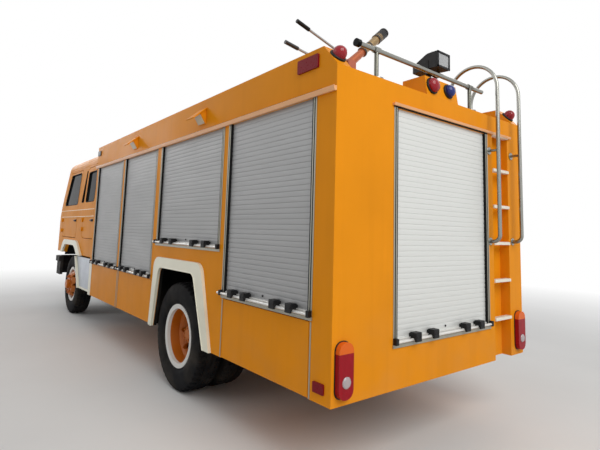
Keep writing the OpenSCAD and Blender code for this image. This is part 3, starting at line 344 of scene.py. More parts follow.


# The orange paint, with rain streaks and painted shade inside the rear wheel housings
look("body_paint", ORANGE, 0.38, coat=0.08, scale=1.6, grime=0.10, pick=streaks_and_housing_shade, gloss=0.03)
look("pale_paint", CREAM, 0.35, coat=0.2, var=0.03, scale=2.0, grime=0.30, gloss=0.4)
look("chassis_black", (0.018, 0.018, 0.02), 0.6, var=0.3, scale=5.0, bump=0.15, grime=0.5)
look("engine_grey", (0.10, 0.105, 0.10), 0.7, metal=0.3, var=0.2, scale=9.0, bump=0.3, bump_scale=90)
look("tank_alloy", (0.45, 0.46, 0.48), 0.4, metal=0.9, var=0.06, scale=30, stretch=(0.2, 1, 1))
look("frame_alloy", (0.36, 0.35, 0.29), 0.36, metal=0.5, scale=20, stretch=(1, 1, 0.08))
# Grey shutters, with the rear one painted whiter as painted light
look("shutter_alloy", (0.38, 0.38, 0.38), 0.45, metal=0.3, var=0.04, scale=3.0, stretch=(0.3, 0.3, 1),
     pick=rear_shutter_painted_light, gloss=0.3)
look("black_plastic", (0.007, 0.007, 0.008), 0.5, var=0.25, scale=30, bump=0.12, bump_scale=500, gloss=0.25)
look("rung_steel", (0.80, 0.76, 0.66), 0.5, metal=0.1, var=0.06, scale=25)
look("rail_steel", (0.30, 0.30, 0.275), 0.26, metal=1.0, var=0.02, scale=1.5, pick=rail_shade)
look("lamp_red", (0.30, 0.004, 0.012), 0.20, coat=0.05, var=0.10, scale=30, bump=0.30, bump_scale=120,
     stretch=(1, 1, 0.2), pick=lamp_bands, gloss=0.15)
look("beacon_red", (0.30, 0.004, 0.012), 0.14, coat=0.15, var=0.06, scale=20, pick=beacon_shade, gloss=0.3)
look("marker", (0.20, 0.003, 0.010), 0.30, var=0.06, scale=40, bump=0.2, bump_scale=260,
     pick=marker_shade, gloss=0.15)
look("monitor_paint", (0.44, 0.10, 0.04), 0.35, coat=0.4, var=0.08, scale=9, pick=swivel_shade)
look("monitor_bronze", (0.32, 0.22, 0.11), 0.40, metal=0.7, var=0.12, scale=14, pick=barrel_shade)
look("step_alloy", (0.46, 0.49, 0.54), kind=chequer)
look("bumper_black", (0.015, 0.015, 0.016), 0.6, var=0.2, bump=0.1, bump_scale=300, grime=0.2, gloss=0.12)
look("bar_alloy", (0.74, 0.73, 0.70), 0.36, metal=0.35, scale=20)
# Drip rails in the body's orange made paler: a painted highlight along their folded edges
look("rail_paint", (0.80, 0.40, 0.17), 0.35, coat=0.2, var=0.06, scale=4)
# Pale yellow on the crease beads: a painted highlight, the sky's reflection on the body-colour creases
look("crease", (0.90, 0.72, 0.40), 0.35, coat=0.1, var=0.03, gloss=0.3)
look("lamp_clear", (0.86, 0.90, 0.92), 0.04, transmission=0.85, kind=glassy)
# Opaque near-black glass: painted shade in place of the dark cab seen through the windows
look("cab_glass", (0.012, 0.016, 0.018), 0.05, gloss=0.02, kind=glassy)
look("seat_trim", (0.045, 0.047, 0.055), kind=weave)
look("grille_black", (0.015, 0.015, 0.016), 0.4, var=0.2, scale=20)
look("wheel_paint", (0.50, 0.13, 0.006), 0.4, coat=0.1, var=0.08, grime=0.10, pick=wheel_shade, gloss=0.3)
look("tyre", (0.007, 0.007, 0.008), 0.75, var=0.35, scale=5, bump=0.25, bump_scale=260, grime=0.10,
     gloss=0.1)
look("rubber", (0.006, 0.006, 0.006), 0.75, var=0.2, scale=40, gloss=0.15)
look("steel", (0.52, 0.52, 0.52), 0.3, metal=1.0, var=0.1, scale=30)
look("amber", (0.85, 0.25, 0.01), 0.15, coat=0.8, var=0.06, scale=40, bump=0.2, bump_scale=250)
look("lens_warm", (0.80, 0.72, 0.52), 0.15, transmission=0.3, kind=glassy)
look("clear", (0.88, 0.90, 0.92), 0.06, transmission=0.6, kind=glassy)
look("mirror_glass", (0.75, 0.78, 0.80), 0.06, metal=1.0, var=0.02)
look("reflector", (0.80, 0.80, 0.78), 0.10, metal=1.0, var=0.03)

for sub in frame["record"]["subparts"]:
    obj = nodes[sub["node"]]
    key = "marker" if sub["node"] == "markers" else sub["material_slot"]
    obj.data.materials.clear()
    obj.data.materials.append(M[key])


# Building blocks: each adds to a bmesh, all in frame metres

def box(bm, lo, hi):
    c = [(a + b) / 2 for a, b in zip(lo, hi)]
    s = [abs(b - a) for a, b in zip(lo, hi)]
    bmesh.ops.create_cube(bm, size=1.0, matrix=Matrix.Translation(c) @ Matrix.Diagonal((*s, 1)))


def rod(bm, a, b, r, n=20):
    a = Vector(a)
    b = Vector(b)
    q = (b - a).to_track_quat("Z", "Y").to_matrix().to_4x4()
    m = Matrix.Translation((a + b) / 2) @ q
    bmesh.ops.create_cone(bm, cap_ends=True, segments=n, radius1=r, radius2=r, depth=(b - a).length, matrix=m)


def circle(n, r, turn=0.0):
    """n points on a circle of radius r, turned by a part of a step."""
    for i in range(n):
        a = 2 * math.pi * (i + turn) / n
        yield r * math.cos(a), r * math.sin(a)


def lathe(bm, pts, origin, axis, n=48):
    """Turns (radius, height) points round an axis through origin."""
    q = Vector(axis).to_track_quat("Z", "Y").to_matrix().to_4x4()
    m = Matrix.Translation(origin) @ q
    rings = [[bm.verts.new(m @ Vector((*p, h))) for p in circle(n, r)] for r, h in pts]
    for k in range(len(rings) - 1):
        for i in range(n):
            j = (i + 1) % n
            bm.faces.new((rings[k][i], rings[k][j], rings[k + 1][j], rings[k + 1][i]))
    if pts[0] == pts[-1]:
        return
    if pts[0][0] > 1e-6:
        bm.faces.new(rings[0][::-1])
    if pts[-1][0] > 1e-6:
        bm.faces.new(rings[-1])


TUBE_SIDES = 8


def tube(bm, path, r, closed=False):
    """Sweeps a circle along a list of points."""
    n = TUBE_SIDES
    pts = [Vector(p) for p in path]
    count = len(pts)
    rings = []
    ref = Vector((0, 0, 1))
    for i, p in enumerate(pts):
        a = pts[i - 1] if i or closed else p
        b = pts[(i + 1) % count] if i < count - 1 or closed else p
        t = (b - a).normalized()
        if abs(t.dot(ref)) > 0.95:
            ref = Vector((0, 1, 0)) if abs(t.y) < 0.9 else Vector((1, 0, 0))
        u = (ref - t * ref.dot(t)).normalized()
        ref = u
        v = t.cross(u)
        rings.append([bm.verts.new(p + (u * c + v * s) * r) for c, s in circle(n, 1)])
    last = count if closed else count - 1
    for k in range(last):
        for i in range(n):
            j = (i + 1) % n
            bm.faces.new((rings[k][i], rings[k][j], rings[(k + 1) % count][j], rings[(k + 1) % count][i]))
    if not closed:
        bm.faces.new(rings[0][::-1])
        bm.faces.new(rings[-1])


ARC_STEPS = 5


def rounded(pts, r):
    """A closed outline with its corners rounded."""
    out = []
    k = len(pts)
    for i in range(k):
        p = Vector(pts[i])
        a = Vector(pts[i - 1]) - p
        b = Vector(pts[(i + 1) % k]) - p
        half = a.angle(b) / 2
        c = p + (a.normalized() + b.normalized()).normalized() * (r / math.sin(half))
        s = p + a.normalized() * (r / math.tan(half)) - c
        e = p + b.normalized() * (r / math.tan(half)) - c
        for j in range(ARC_STEPS + 1):
            out.append(c + s.normalized().slerp(e.normalized(), j / ARC_STEPS) * r)
    return out


def prism(bm, outline, lift):
    """Extrudes a closed 3-D outline by a vector."""
    low = [bm.verts.new(p) for p in outline]
    high = [bm.verts.new(Vector(p) + Vector(lift)) for p in outline]
    k = len(low)
    bm.faces.new(low)
    bm.faces.new(high[::-1])
    for i in range(k):
        j = (i + 1) % k
        bm.faces.new((low[j], low[i], high[i], high[j]))


def as_object(bm, name, material):
    """Ends a bmesh as a smooth object in the scene."""
    bmesh.ops.recalc_face_normals(bm, faces=bm.faces)
    me = bpy.data.meshes.new(name)
    bm.to_mesh(me)
    bm.free()
    for poly in me.polygons:
        poly.use_smooth = True
    me.materials.append(M[material])
    o = bpy.data.objects.new(name, me)
    bpy.context.scene.collection.objects.link(o)
    return o


def piece(name, body, material, build, bevel=0.0, smooth=30, replaces=()):
    """Builds one named piece and gives it its body and the nodes that it replaces."""
    bm = bmesh.new()
    build(bm)
    o = as_object(bm, name, material)
    o.data.set_sharp_from_angle(angle=math.radians(smooth))
    if bevel:
        mod = o.modifiers.new("bevel", "BEVEL")
        mod.width = bevel
        mod.segments = 2
        mod.limit_method = "ANGLE"
    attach(o, body)
    if replaces:
        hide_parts(*replaces)


# Tyres with a cut tread, in place of the plain ones

# Half profile: (radius, distance from the middle), from the tread's middle out to the bead
TREAD = [(0.530, 0.000), (0.530, 0.006), (0.530, 0.030), (0.530, 0.034), (0.530, 0.056), (0.530, 0.062),
         (0.530, 0.086), (0.527, 0.100), (0.521, 0.112)]
WALL = [(0.508, 0.1215), (0.496, 0.1245), (0.480, 0.1285), (0.462, 0.1325), (0.440, 0.1362), (0.420, 0.1375),
        (0.398, 0.1375), (0.380, 0.1355), (0.362, 0.1335), (0.350, 0.129), (0.346, 0.127), (0.336, 0.121),
        (0.322, 0.112), (0.314, 0.106), (0.300, 0.102), (0.286, 0.100)]
TYRE_STEPS = 288
LUGS = 48
LUG_STEPS = TYRE_STEPS // LUGS
GROOVE = (0.030, 0.034)
SHOULDER = 0.062
FLUTED = 0.1215
BEAD_R = 0.283
BEAD_HALF = 0.098
BEAD_STEPS = 48


def tread_radius(r, y, i):
    """Ribs with zigzag grooves inside, and cut lugs at the shoulders."""
    phase = (i % LUG_STEPS) / LUG_STEPS
    if y in GROOVE:
        return r - 0.011
    if y == 0.000 and phase < 0.17:
        return r - 0.006
    if y >= SHOULDER and phase < 0.34:
        return r - 0.012
    return r


def tyre(bm, x, y):
    half = [(r, d, "tread") for r, d in TREAD] + [(r, d, "wall") for r, d in WALL]
    profile = [(r, -d, k) for r, d, k in half[::-1]] + [(r, d, k) for r, d, k in half[1:]]
    rings = []
    for i in range(TYRE_STEPS):
        a = 2 * math.pi * i / TYRE_STEPS
        ring = []
        for r, d, kind in profile:
            wave = 0.0
            if kind == "tread":
                r = tread_radius(r, abs(d), i)
                wave = 0.004 * math.sin(a * LUGS) if abs(d) in (*GROOVE, 0.056) else 0.0
            elif abs(d) == FLUTED and i % LUG_STEPS < 2:
                r -= 0.004
            ring.append(bm.verts.new((x + r * math.cos(a), y + d + wave, AXLE_Z + r * math.sin(a))))
        rings.append(ring)
    for i in range(TYRE_STEPS):
        nxt = rings[(i + 1) % TYRE_STEPS]
        for k in range(len(profile) - 1):
            bm.faces.new((rings[i][k], rings[i][k + 1], nxt[k + 1], nxt[k]))
    # The band that lies on the rim
    inner = [[bm.verts.new((x + dx, y + s * BEAD_HALF, AXLE_Z + dz)) for dx, dz in circle(BEAD_STEPS, BEAD_R)]
             for s in (-1, 1)]
    for i in range(BEAD_STEPS):
        j = (i + 1) % BEAD_STEPS
        bm.faces.new((inner[0][i], inner[0][j], inner[1][j], inner[1][i]))


TRACK = 0.990
OUTER_Y = 1.072
TWIN = 0.315


def twins(bm, s):
    tyre(bm, at(REAR_AXLE), s * OUTER_Y)
    tyre(bm, at(REAR_AXLE), s * (OUTER_Y - TWIN))


for side, s in SIDES:
    piece(f"tread_front_{side}", f"wheel_front_{side}", "tyre",
          lambda bm: tyre(bm, at(FRONT_AXLE), s * TRACK), smooth=24, replaces=(f"tyre_front_{side}",))
    piece(f"tread_rear_{side}", f"wheels_rear_{side}", "tyre",
          lambda bm: twins(bm, s), smooth=24, replaces=(f"tyres_rear_{side}",))


# Wheel nuts on their studs, and bolts round the hub

NUTS = 10
NUT_CIRCLE = 0.150
HUB_BOLTS = 8
# How far a nut and its stud stand out, and their radii
NUT = (0.022, 0.017)
STUD = (0.036, 0.010)
# Where the disc's face and the hub's face lie, out from the middle of the outer tyre
FRONT_FACES = (0.1575, 0.2075)
REAR_FACES = (-0.1435, 0.012)


def wheel_details(bm, x, s, middle, faces, hub_r):
    disc, hub = (s * (middle + face) for face in faces)
    for dx, dz in circle(NUTS, NUT_CIRCLE, 0.5):
        cx = x + dx
        cz = AXLE_Z + dz
        rod(bm, (cx, disc, cz), (cx, disc + s * NUT[0], cz), NUT[1], n=6)
        rod(bm, (cx, disc + s * NUT[0], cz), (cx, disc + s * STUD[0], cz), STUD[1], n=12)
    for dx, dz in circle(HUB_BOLTS, hub_r):
        rod(bm, (x + dx, hub, AXLE_Z + dz), (x + dx, hub + s * 0.010, AXLE_Z + dz), 0.008, n=6)


for side, s in SIDES:
    piece(f"nuts_front_{side}", f"wheel_front_{side}", "wheel_paint",
          lambda bm: wheel_details(bm, at(FRONT_AXLE), s, TRACK, FRONT_FACES, 0.066))
    piece(f"nuts_rear_{side}", f"wheels_rear_{side}", "wheel_paint",
          lambda bm: wheel_details(bm, at(REAR_AXLE), s, OUTER_Y, REAR_FACES, 0.060))


# Shutters: curtains, framed openings, drip rails and lift bars, in place of the plain ones

# Openings between the jambs, in millimetres: (rear edge, front edge, sill height, height of the lift bar)
OPENINGS = [(242, 1357, 1060, 1072), (1524, 2916, 1445, 1457), (3121, 4216, 1060, 1054),
            (4380, 5556, 1060, 1054)]
# The same for the rear one, from its right edge to its left edge
REAR_OPENING = (-598, 606, 850, 864)
# Plates between two openings, in millimetres along the side
POSTS = ((3044, 3075), (4290, 4334))
SHUTTER_TOP = 2.545
SLAT = 0.040
# Depths into the wall: the slats' face, the curtain's back and the foot of what sits on the skin
CURTAIN_IN = 0.017
CURTAIN_BACK = 0.0285
SKIN = -0.0005
# The jamb's width, its two ridges and the thickness of its lining
JAMB = 0.046
RIDGES = ((0.012, 0.022), (0.034, JAMB))
LINING = 0.0035
# The lift bars: how far they pass the front jamb, how far they stand out, and where their grips are
OVERHANG = 0.045
BAR_OUT = 0.022
BAR_R = 0.0105
GRIPS = (0.137, 0.313, 0.674, 0.851)
GUTTER = 2.565
# Sections of the folded rails: (out from the wall, height over the gutter)
SIDE_FOLD = [(0.0, -0.022), (0.020, -0.024), (0.027, 0.008), (0.022, 0.014), (0.018, 0.006), (0.0, 0.012)]
REAR_FOLD = [(0.0, -0.008), (0.020, -0.010), (0.027, 0.008), (0.022, 0.012), (0.018, 0.006), (0.0, 0.010)]
REAR_FOLD_END = 0.670
REAR_FOLD_PAST = 0.035


def runs():
    """Each opening as (origin at its first foot, along, out, width, height of the bar over the sill)."""
    for a, b, z, bar in OPENINGS:
        for _, s in SIDES:
            foot = Vector((at(a), s * BODY_HALF, z / 1000))
            yield foot, Vector((1, 0, 0)), Vector((0, s, 0)), (b - a) / 1000, (bar - z) / 1000
    a, b, z, bar = REAR_OPENING
    foot = Vector((at(0), a / 1000, z / 1000))
    yield foot, Vector((0, 1, 0)), Vector((-1, 0, 0)), (b - a) / 1000, (bar - z) / 1000


def spot(o, u, v, a, d, z):
    """The place a along an opening, d out of the wall and z over the sill."""
    return o + u * a + v * d + Vector((0, 0, z))


def along_box(bm, o, u, v, a, b, d0, d1, z0, z1):
    p = spot(o, u, v, a, d0, z0)
    q = spot(o, u, v, b, d1, z1)
    box(bm, [min(i, j) for i, j in zip(p, q)], [max(i, j) for i, j in zip(p, q)])


def curtains(bm):
    """Interlocked slats with a slightly domed face and a narrow groove at each joint."""
    face = [(0.0, -0.0030), (0.04, -0.0030), (0.09, -0.0004), (0.30, 0.0003), (0.55, 0.0006), (0.80, 0.0003),
            (0.97, -0.0004), (1.0, -0.0030)]
    for o, u, v, w, _ in runs():
        rows = []
        z = 0.0
        top = SHUTTER_TOP - o.z
        while z < top - 0.001:
            rows += [(z + f * SLAT, d) for f, d in face if z + f * SLAT <= top]
            z += SLAT
        rows.append((top, 0.0))
        ends = [[bm.verts.new(spot(o, u, v, e, d - CURTAIN_IN, h)) for h, d in rows] for e in (0.0, w)]
        back = [[bm.verts.new(spot(o, u, v, e, -CURTAIN_BACK, h)) for h in (0.0, top)] for e in (0.0, w)]
        for i in range(len(rows) - 1):
            bm.faces.new((ends[0][i], ends[1][i], ends[1][i + 1], ends[0][i + 1]))
        bm.faces.new((back[0][0], back[0][1], back[1][1], back[1][0]))


def jambs(bm):
    """Two bright ridges up each side of an opening, and a sill under it."""
    for o, u, v, w, _ in runs():
        top = SHUTTER_TOP - o.z
        for base, d in ((0.0, -1), (w, 1)):
            for near, far in RIDGES:
                along_box(bm, o, u, v, base + d * near, base + d * far, SKIN, 0.005, -0.002, top)
        along_box(bm, o, u, v, -JAMB - 0.004, w + JAMB + 0.004, SKIN, 0.010, -0.028, -0.004)


def gaskets_and_painted_shade(bm):
    """The black lining of each jamb, and the seals between its ridges. The lining and the seal at the
    opening's edge are a real seal and painted shade of the deep channel. The strip over the rear opening is a
    painted shadow under the drip rail.
    """
    for o, u, v, w, _ in runs():
        top = SHUTTER_TOP - o.z
        for base, d in ((0.0, -1), (w, 1)):
            # Black lining on the jamb's inner face: seal and painted shade of the channel
            along_box(bm, o, u, v, base, base + d * LINING, -CURTAIN_BACK, 0.002, 0.0, top)
            along_box(bm, o, u, v, base + d * LINING, base + d * RIDGES[0][0], SKIN, 0.002, 0.0, top)
            along_box(bm, o, u, v, base + d * RIDGES[0][1], base + d * RIDGES[1][0], SKIN, 0.0015, 0.0, top)
        # Over the rear opening: a black strip as a painted shadow under the drip rail
        if not u.x:
            along_box(bm, o, u, v, -JAMB, w + JAMB, SKIN, 0.006, top, top + 0.014)


def posts(bm):
    """Painted plates that close the wall between a rear jamb and the next opening."""
    for _, s in SIDES:
        for a, b in POSTS:
            box(bm, (at(a), s * (BODY_HALF - CURTAIN_BACK), 1.032),
                (at(b), s * (BODY_HALF + 0.001), SHUTTER_TOP + 0.002))


def drip_rails_body(bm):
    """Folded rails over the openings, whose lower lip hides the curtains' upper edge."""
    for _, s in SIDES:
        outline = [(at(0), s * (BODY_HALF + y), GUTTER + z) for y, z in SIDE_FOLD]
        prism(bm, outline, (BODY_L / 1000, 0, 0))
    outline = [(at(0) - x, LADDER[0] - REAR_FOLD_PAST, GUTTER + z) for x, z in REAR_FOLD]
    prism(bm, outline, (0, REAR_FOLD_END - LADDER[0] + REAR_FOLD_PAST, 0))


def bar_span(u, w):
    """A bar runs over both jambs, and past the front one on the sides."""
    return -JAMB + 0.004, w + JAMB - 0.004 + (OVERHANG if u.x else 0.0)


def lift_rods(bm):
    """Round bars, and the flat foot of each curtain."""
    for o, u, v, w, h in runs():
        a, b = bar_span(u, w)
        rod(bm, spot(o, u, v, a, BAR_OUT, h), spot(o, u, v, b, BAR_OUT, h), BAR_R)
        along_box(bm, o, u, v, 0.004, w - 0.004, -CURTAIN_IN, -0.002, 0.0, 0.030)


def grips(bm):
    """Block grips with a hooked upper lip, black end pieces, and a small lock in the middle."""
    for o, u, v, w, h in runs():
        for f in GRIPS:
            a = w * f
            along_box(bm, o, u, v, a - 0.034, a + 0.034, -0.002, 0.052, h + 0.034, h + 0.050)
            along_box(bm, o, u, v, a - 0.031, a + 0.031, 0.038, 0.055, h - 0.014, h + 0.044)
            along_box(bm, o, u, v, a - 0.028, a + 0.028, -CURTAIN_IN, 0.040, h - 0.004, h + 0.040)
            for b in (-0.017, 0.017):
                c = spot(o, u, v, a + b, 0.055, h + 0.018)
                rod(bm, c - v * 0.004, c + v * 0.003, 0.006, n=10)
        for a in (-JAMB * 0.75, w + JAMB * 0.75):
            along_box(bm, o, u, v, a - 0.014, a + 0.014, 0.004, 0.036, h - 0.018, h + 0.026)
        c = spot(o, u, v, w / 2, -CURTAIN_IN, h + 0.045)
        rod(bm, c, c + v * 0.008, 0.008)


piece("curtains", "chassis", "shutter_alloy", curtains, smooth=20, replaces=("shutters",))
piece("shutter_jambs", "chassis", "frame_alloy", jambs, bevel=0.0012,
      replaces=("shutter_frames",))
# Black seals, which also paint the shade in the jamb channels and the shadow over the rear opening
piece("shutter_gaskets_and_shade", "chassis", "rubber", gaskets_and_painted_shade)
piece("shutter_posts", "chassis", "body_paint", posts, bevel=0.0005)
piece("body_drip_rails", "chassis", "rail_paint", drip_rails_body, bevel=0.001)
piece("lift_rods", "chassis", "bar_alloy", lift_rods, bevel=0.001, replaces=("lift_bars",))
piece("shutter_grips", "chassis", "black_plastic", grips, bevel=0.004)


# Strips on the lower body

def panel_strips(bm):
    """Thin upright strips on the body at the lower panels' ends."""
    for _, s in SIDES:
        y0 = s * BODY_HALF
        for x in (199, 1379, 4229, 4279):
            box(bm, (at(x), y0, BODY_LOW + 0.004), (at(x + 12), y0 + s * 0.004, 1.024))


piece("panel_strips", "chassis", "frame_alloy", panel_strips, bevel=0.001)


# Sealant seams

def seams(bm):
    """A black sealant line along each side, over the drip rail."""
    for _, s in SIDES:
        y = s * BODY_HALF
        box(bm, (at(150), y, 2.588), (at(5660), y + s * 0.0012, 2.5905))


piece("seams", "chassis", "rubber", seams)


# Lamps

def lamp_bezels(bm):
    for _, s in SIDES:
        corners = [(0, 1.070, 0.581), (0, 1.206, 0.581), (0, 1.206, 0.935), (0, 1.070, 0.935)]
        outline = rounded([(x, s * y, z) for x, y, z in corners], 0.058)
        prism(bm, [(at(-6), p.y, p.z) for p in outline], (0.0058, 0, 0))


piece("lamp_bezels", "chassis", "black_plastic", lamp_bezels, bevel=0.001)


def reverse_lenses(bm):
    for _, s in SIDES:
        lathe(bm, [(0.036, 0.0), (0.036, 0.004), (0.029, 0.010), (0.0, 0.013)], (at(-41.5), s * 1.138, 0.690),
              (-1, 0, 0), 36)


piece("reverse_lenses", "chassis", "clear", reverse_lenses)


BOX_LEAN = math.radians(81)
# (y, radius) of the two domes on the box
BOX_DOMES = ((0.165, 0.060), (-0.060, 0.052))
PARAPET_LEAN = math.atan2(0.160, 0.140)


def leaned(angle):
    """A direction that leans back from upright by an angle."""
    return Vector((-math.sin(angle), 0, math.cos(angle)))


def dome_places():
    """Foot and axis of each domed lamp, its height and its radius."""
    for y, r in BOX_DOMES:
        yield (at(18), y, DECK + 0.090), leaned(BOX_LEAN), 0.064, r
    for _, s in SIDES:
        yield (at(70), s * (BODY_HALF - 0.065), DECK + 0.080), leaned(PARAPET_LEAN), 0.082, 0.052


def domes(bm):
    """Round lenses on a short drum, with a full crown."""
    for place, axis, h, r in dome_places():
        drum = h * 0.35
        crown = [(r * math.cos(a), drum + (h - drum) * math.sin(a))
                 for a in (math.radians(6 * i) for i in range(15))]
        lathe(bm, [(r + 0.002, 0.0), (r + 0.002, 0.010), (r, 0.012)] + crown + [(0.0, h)], place, axis)


def dome_rings(bm):
    """A raised rubber ring round each dome's foot."""
    profile = [(0.0015, 0.0), (0.010, 0.0), (0.010, 0.012), (0.0055, 0.016), (0.0015, 0.016), (0.0015, 0.0)]
    for place, axis, _, r in dome_places():
        lathe(bm, [(r + a, b) for a, b in profile], place, axis)


piece("domes", "chassis", "beacon_red", domes, smooth=40, replaces=("beacons",))
piece("dome_rings", "chassis", "black_plastic", dome_rings)

WORK_LAMP = (30, -0.015, 3.085)


def work_lens(bm):
    x, y, z = WORK_LAMP
    box(bm, (at(x - 3), y - 0.070, z - 0.052), (at(x + 1), y + 0.070, z + 0.052))


def work_frame(bm):
    """The lens frame, the cooling fins on the casing and the stirrup that carries it."""
    x, y, z = WORK_LAMP
    for a, b in (((-0.088, -0.070), (-0.070, 0.070)), ((0.070, -0.070), (0.088, 0.070)),
                 ((-0.088, 0.052), (0.088, 0.070)), ((-0.088, -0.070), (0.088, -0.052))):
        box(bm, (at(x - 8), y + a[0], z + a[1]), (at(x + 1), y + b[0], z + b[1]))
    for k in range(7):
        fx = at(x + 60 + k * 20)
        half = 0.074 - k * 0.004
        box(bm, (fx, y - half, z + 0.050 - k * 0.006), (fx + 0.004, y + half, z + 0.080 - k * 0.006))
    for s in (-1, 1):
        arm = y + s * 0.080
        box(bm, (at(x + 95), arm - 0.003, z - 0.100), (at(x + 125), arm + 0.003, z + 0.010))
    box(bm, (at(x + 95), y - 0.083, z - 0.106), (at(x + 125), y + 0.083, z - 0.099))


piece("work_lens", "chassis", "clear", work_lens, bevel=0.001)
piece("work_frame", "chassis", "black_plastic", work_frame, bevel=0.0015)


SIDE_LAMP_X = (REAR_AXLE - 400, REAR_AXLE + 1535)
# Half length and section, in millimetres: (out from the side, height over the deck)
HOOD = (84, [(0, 75), (0, 58), (132, -60), (142, -50)])
LAMP_WEDGE = (70, [(0, 66), (66, 8), (3, -90), (0, -90)])
LENS = (62, [(62, 0), (8, -84), (16, -89), (70, -5)])


def side_prisms(bm, shapes):
    for x in SIDE_LAMP_X:
        for _, s in SIDES:
            for half, section in shapes:
                outline = [(at(x - half), s * (BODY_HALF + y / 1000), DECK + z / 1000) for y, z in section]
                prism(bm, outline, (2 * half / 1000, 0, 0))


def side_hoods(bm):
    """A sloping hood plate over a wedge-shaped lamp, in place of the plain wedge."""
    side_prisms(bm, (HOOD, LAMP_WEDGE))


def side_lenses(bm):
    side_prisms(bm, (LENS,))


piece("side_hoods", "chassis", "body_paint", side_hoods, bevel=0.002, replaces=("side_lamps",))
piece("side_lenses", "chassis", "lens_warm", side_lenses, bevel=0.002)


def head_bowls(bm):
    """Reflector bowls behind the head lamp glass."""
    for _, s in SIDES:
        for y in (0.785, 0.915):
            lathe(bm, [(0.052, 0.0), (0.050, -0.010), (0.038, -0.030), (0.016, -0.044)],
                  (at(CAB_FRONT + 42), s * y, 0.815), (1, 0, 0), 32)


piece("head_bowls", "chassis", "reflector", head_bowls)


def indicators(bm):
    for _, s in SIDES:
        box(bm, (at(CAB_FRONT + 45), s * 0.995, 0.735), (at(CAB_FRONT + 53), s * 1.020, 0.895))


piece("indicators", "chassis", "amber", indicators, bevel=0.004)


# Hand rail feet and ladder rungs

# Where the hand rails stand on the deck
RAIL_ON_ROOF = 407
RUNGS = 6
RUNG_FOOT = 0.900
RUNG_STEP = 0.335


def rail_feet(bm):
    """Round plates where the hand rails meet the rear wall and the deck."""
    for y in (-0.670, -1.070):
        for z in (1.575, DECK - 0.335):
            rod(bm, (at(0), y, z), (at(-8), y, z), 0.034, n=24)
        x = at(RAIL_ON_ROOF)
        rod(bm, (x, y, DECK), (x, y, DECK + 0.010), 0.040, n=24)


piece("rail_feet", "chassis", "rail_steel", rail_feet, bevel=0.0015)


def rungs(bm):
    """Folded step rungs with a slip-proof top, in place of the plain bars."""
    for i in range(RUNGS):
        z = RUNG_FOOT + i * RUNG_STEP
        box(bm, (at(-14), LADDER[0], z - 0.026), (at(40), LADDER[1], z))


def rung_grips(bm):
    for i in range(RUNGS):
        z = RUNG_FOOT + i * RUNG_STEP
        for k in range(9):
            y = LADDER[0] + 0.025 + k * 0.029
            box(bm, (at(-12), y, z), (at(34), y + 0.012, z + 0.003))


piece("rungs", "chassis", "rung_steel", rungs, bevel=0.003, replaces=("ladder_rungs",))
piece("rung_grips", "chassis", "rung_steel", rung_grips)


# Treadplates on the roof deck

def deck_plates(bm):
    for x0, x1 in ((1500, 2700), (2740, 3940), (3980, 5180)):
        box(bm, (at(x0), -0.70, DECK), (at(x1), 0.70, DECK + 0.004))


piece("deck_plates", "chassis", "step_alloy", deck_plates, bevel=0.001)


# Monitor bolts and bands

# Bolts on the riser's two flanges: (circle's radius, lower end, upper end, bolt's radius)
FLANGE_BOLTS = ((0.108, DECK + 0.020, DECK + 0.032, 0.011),
                (0.084, MONITOR[1] - 0.220 - 0.010, MONITOR[1] - 0.220, 0.009))
# Ring nuts: (distance along the barrel, radius)
BANDS = ((0.075, 0.047), (0.337, 0.053), (0.480, 0.044), (0.640, 0.054), (0.808, 0.054))
# The nozzle's ribs: (near end, far end, distance from the axis)
NOZZLE = (0.655, 0.795, 0.052)
NOZZLE_RIBS = 20


def monitor_bolts(bm):
    x = at(MONITOR[0])
    for reach, low, high, r in FLANGE_BOLTS:
        for dx, dy in circle(8, reach):
            rod(bm, (x + dx, dy, low), (x + dx, dy, high), r, n=6)


piece("monitor_bolts", "chassis", "steel", monitor_bolts)


def barrel_bands(bm):
    """Ring nuts on the tube, and grip ribs round the nozzle."""
    d = Vector((0, -math.cos(LIFT), math.sin(LIFT)))
    o = Vector((at(MONITOR[0]), 0, MONITOR[1]))
    for h, r in BANDS:
        lathe(bm, [(r - 0.004, h - 0.009), (r + 0.003, h - 0.009), (r + 0.003, h + 0.009),
                   (r - 0.004, h + 0.009), (r - 0.004, h - 0.009)], o, d)
    q = d.to_track_quat("Z", "Y")
    near, far, out = NOZZLE
    for a, b in circle(NOZZLE_RIBS, 1):
        u = q @ Vector((a, b, 0))
        rod(bm, o + d * near + u * out, o + d * far + u * out, 0.004, n=8)


piece("barrel_bands", "monitor_barrel", "grille_black", barrel_bands)


# Cab: seals, handles, wipers, drip rails, mirrors, grille bars and creases

LEAN = math.radians(24)
SCREEN_OUT = Vector((math.cos(LEAN), 0, math.sin(LEAN)))
SCREEN_FOOT = 1.810
FRONT_FOOT = 1.100
FRONT_LEAN = 0.050
BELT_TOP = 1.906
CAB_TOP = 2.865
SIDE_LEAN = 0.060


def screen_x(z):
    """Frame x of the windshield's plane at height z."""
    return at(CAB_FRONT) - (z - SCREEN_FOOT) * math.tan(LEAN)


def on_screen(y, z, out):
    """A place at a distance out of the windshield's plane."""
    return Vector((screen_x(z), y, z)) + SCREEN_OUT * out


def side_y(z):
    """Half width of the cab at height z: upright to the belt and leaning in above it."""
    return CAB_HALF - SIDE_LEAN * max(0.0, z - BELT_TOP) / (CAB_TOP - BELT_TOP)


# Inset and depth of the four edges of a window's lining
LINING_EDGES = ((-0.0013, 0.002), (0.0052, 0.002), (0.0052, 0.030), (-0.0013, 0.030))


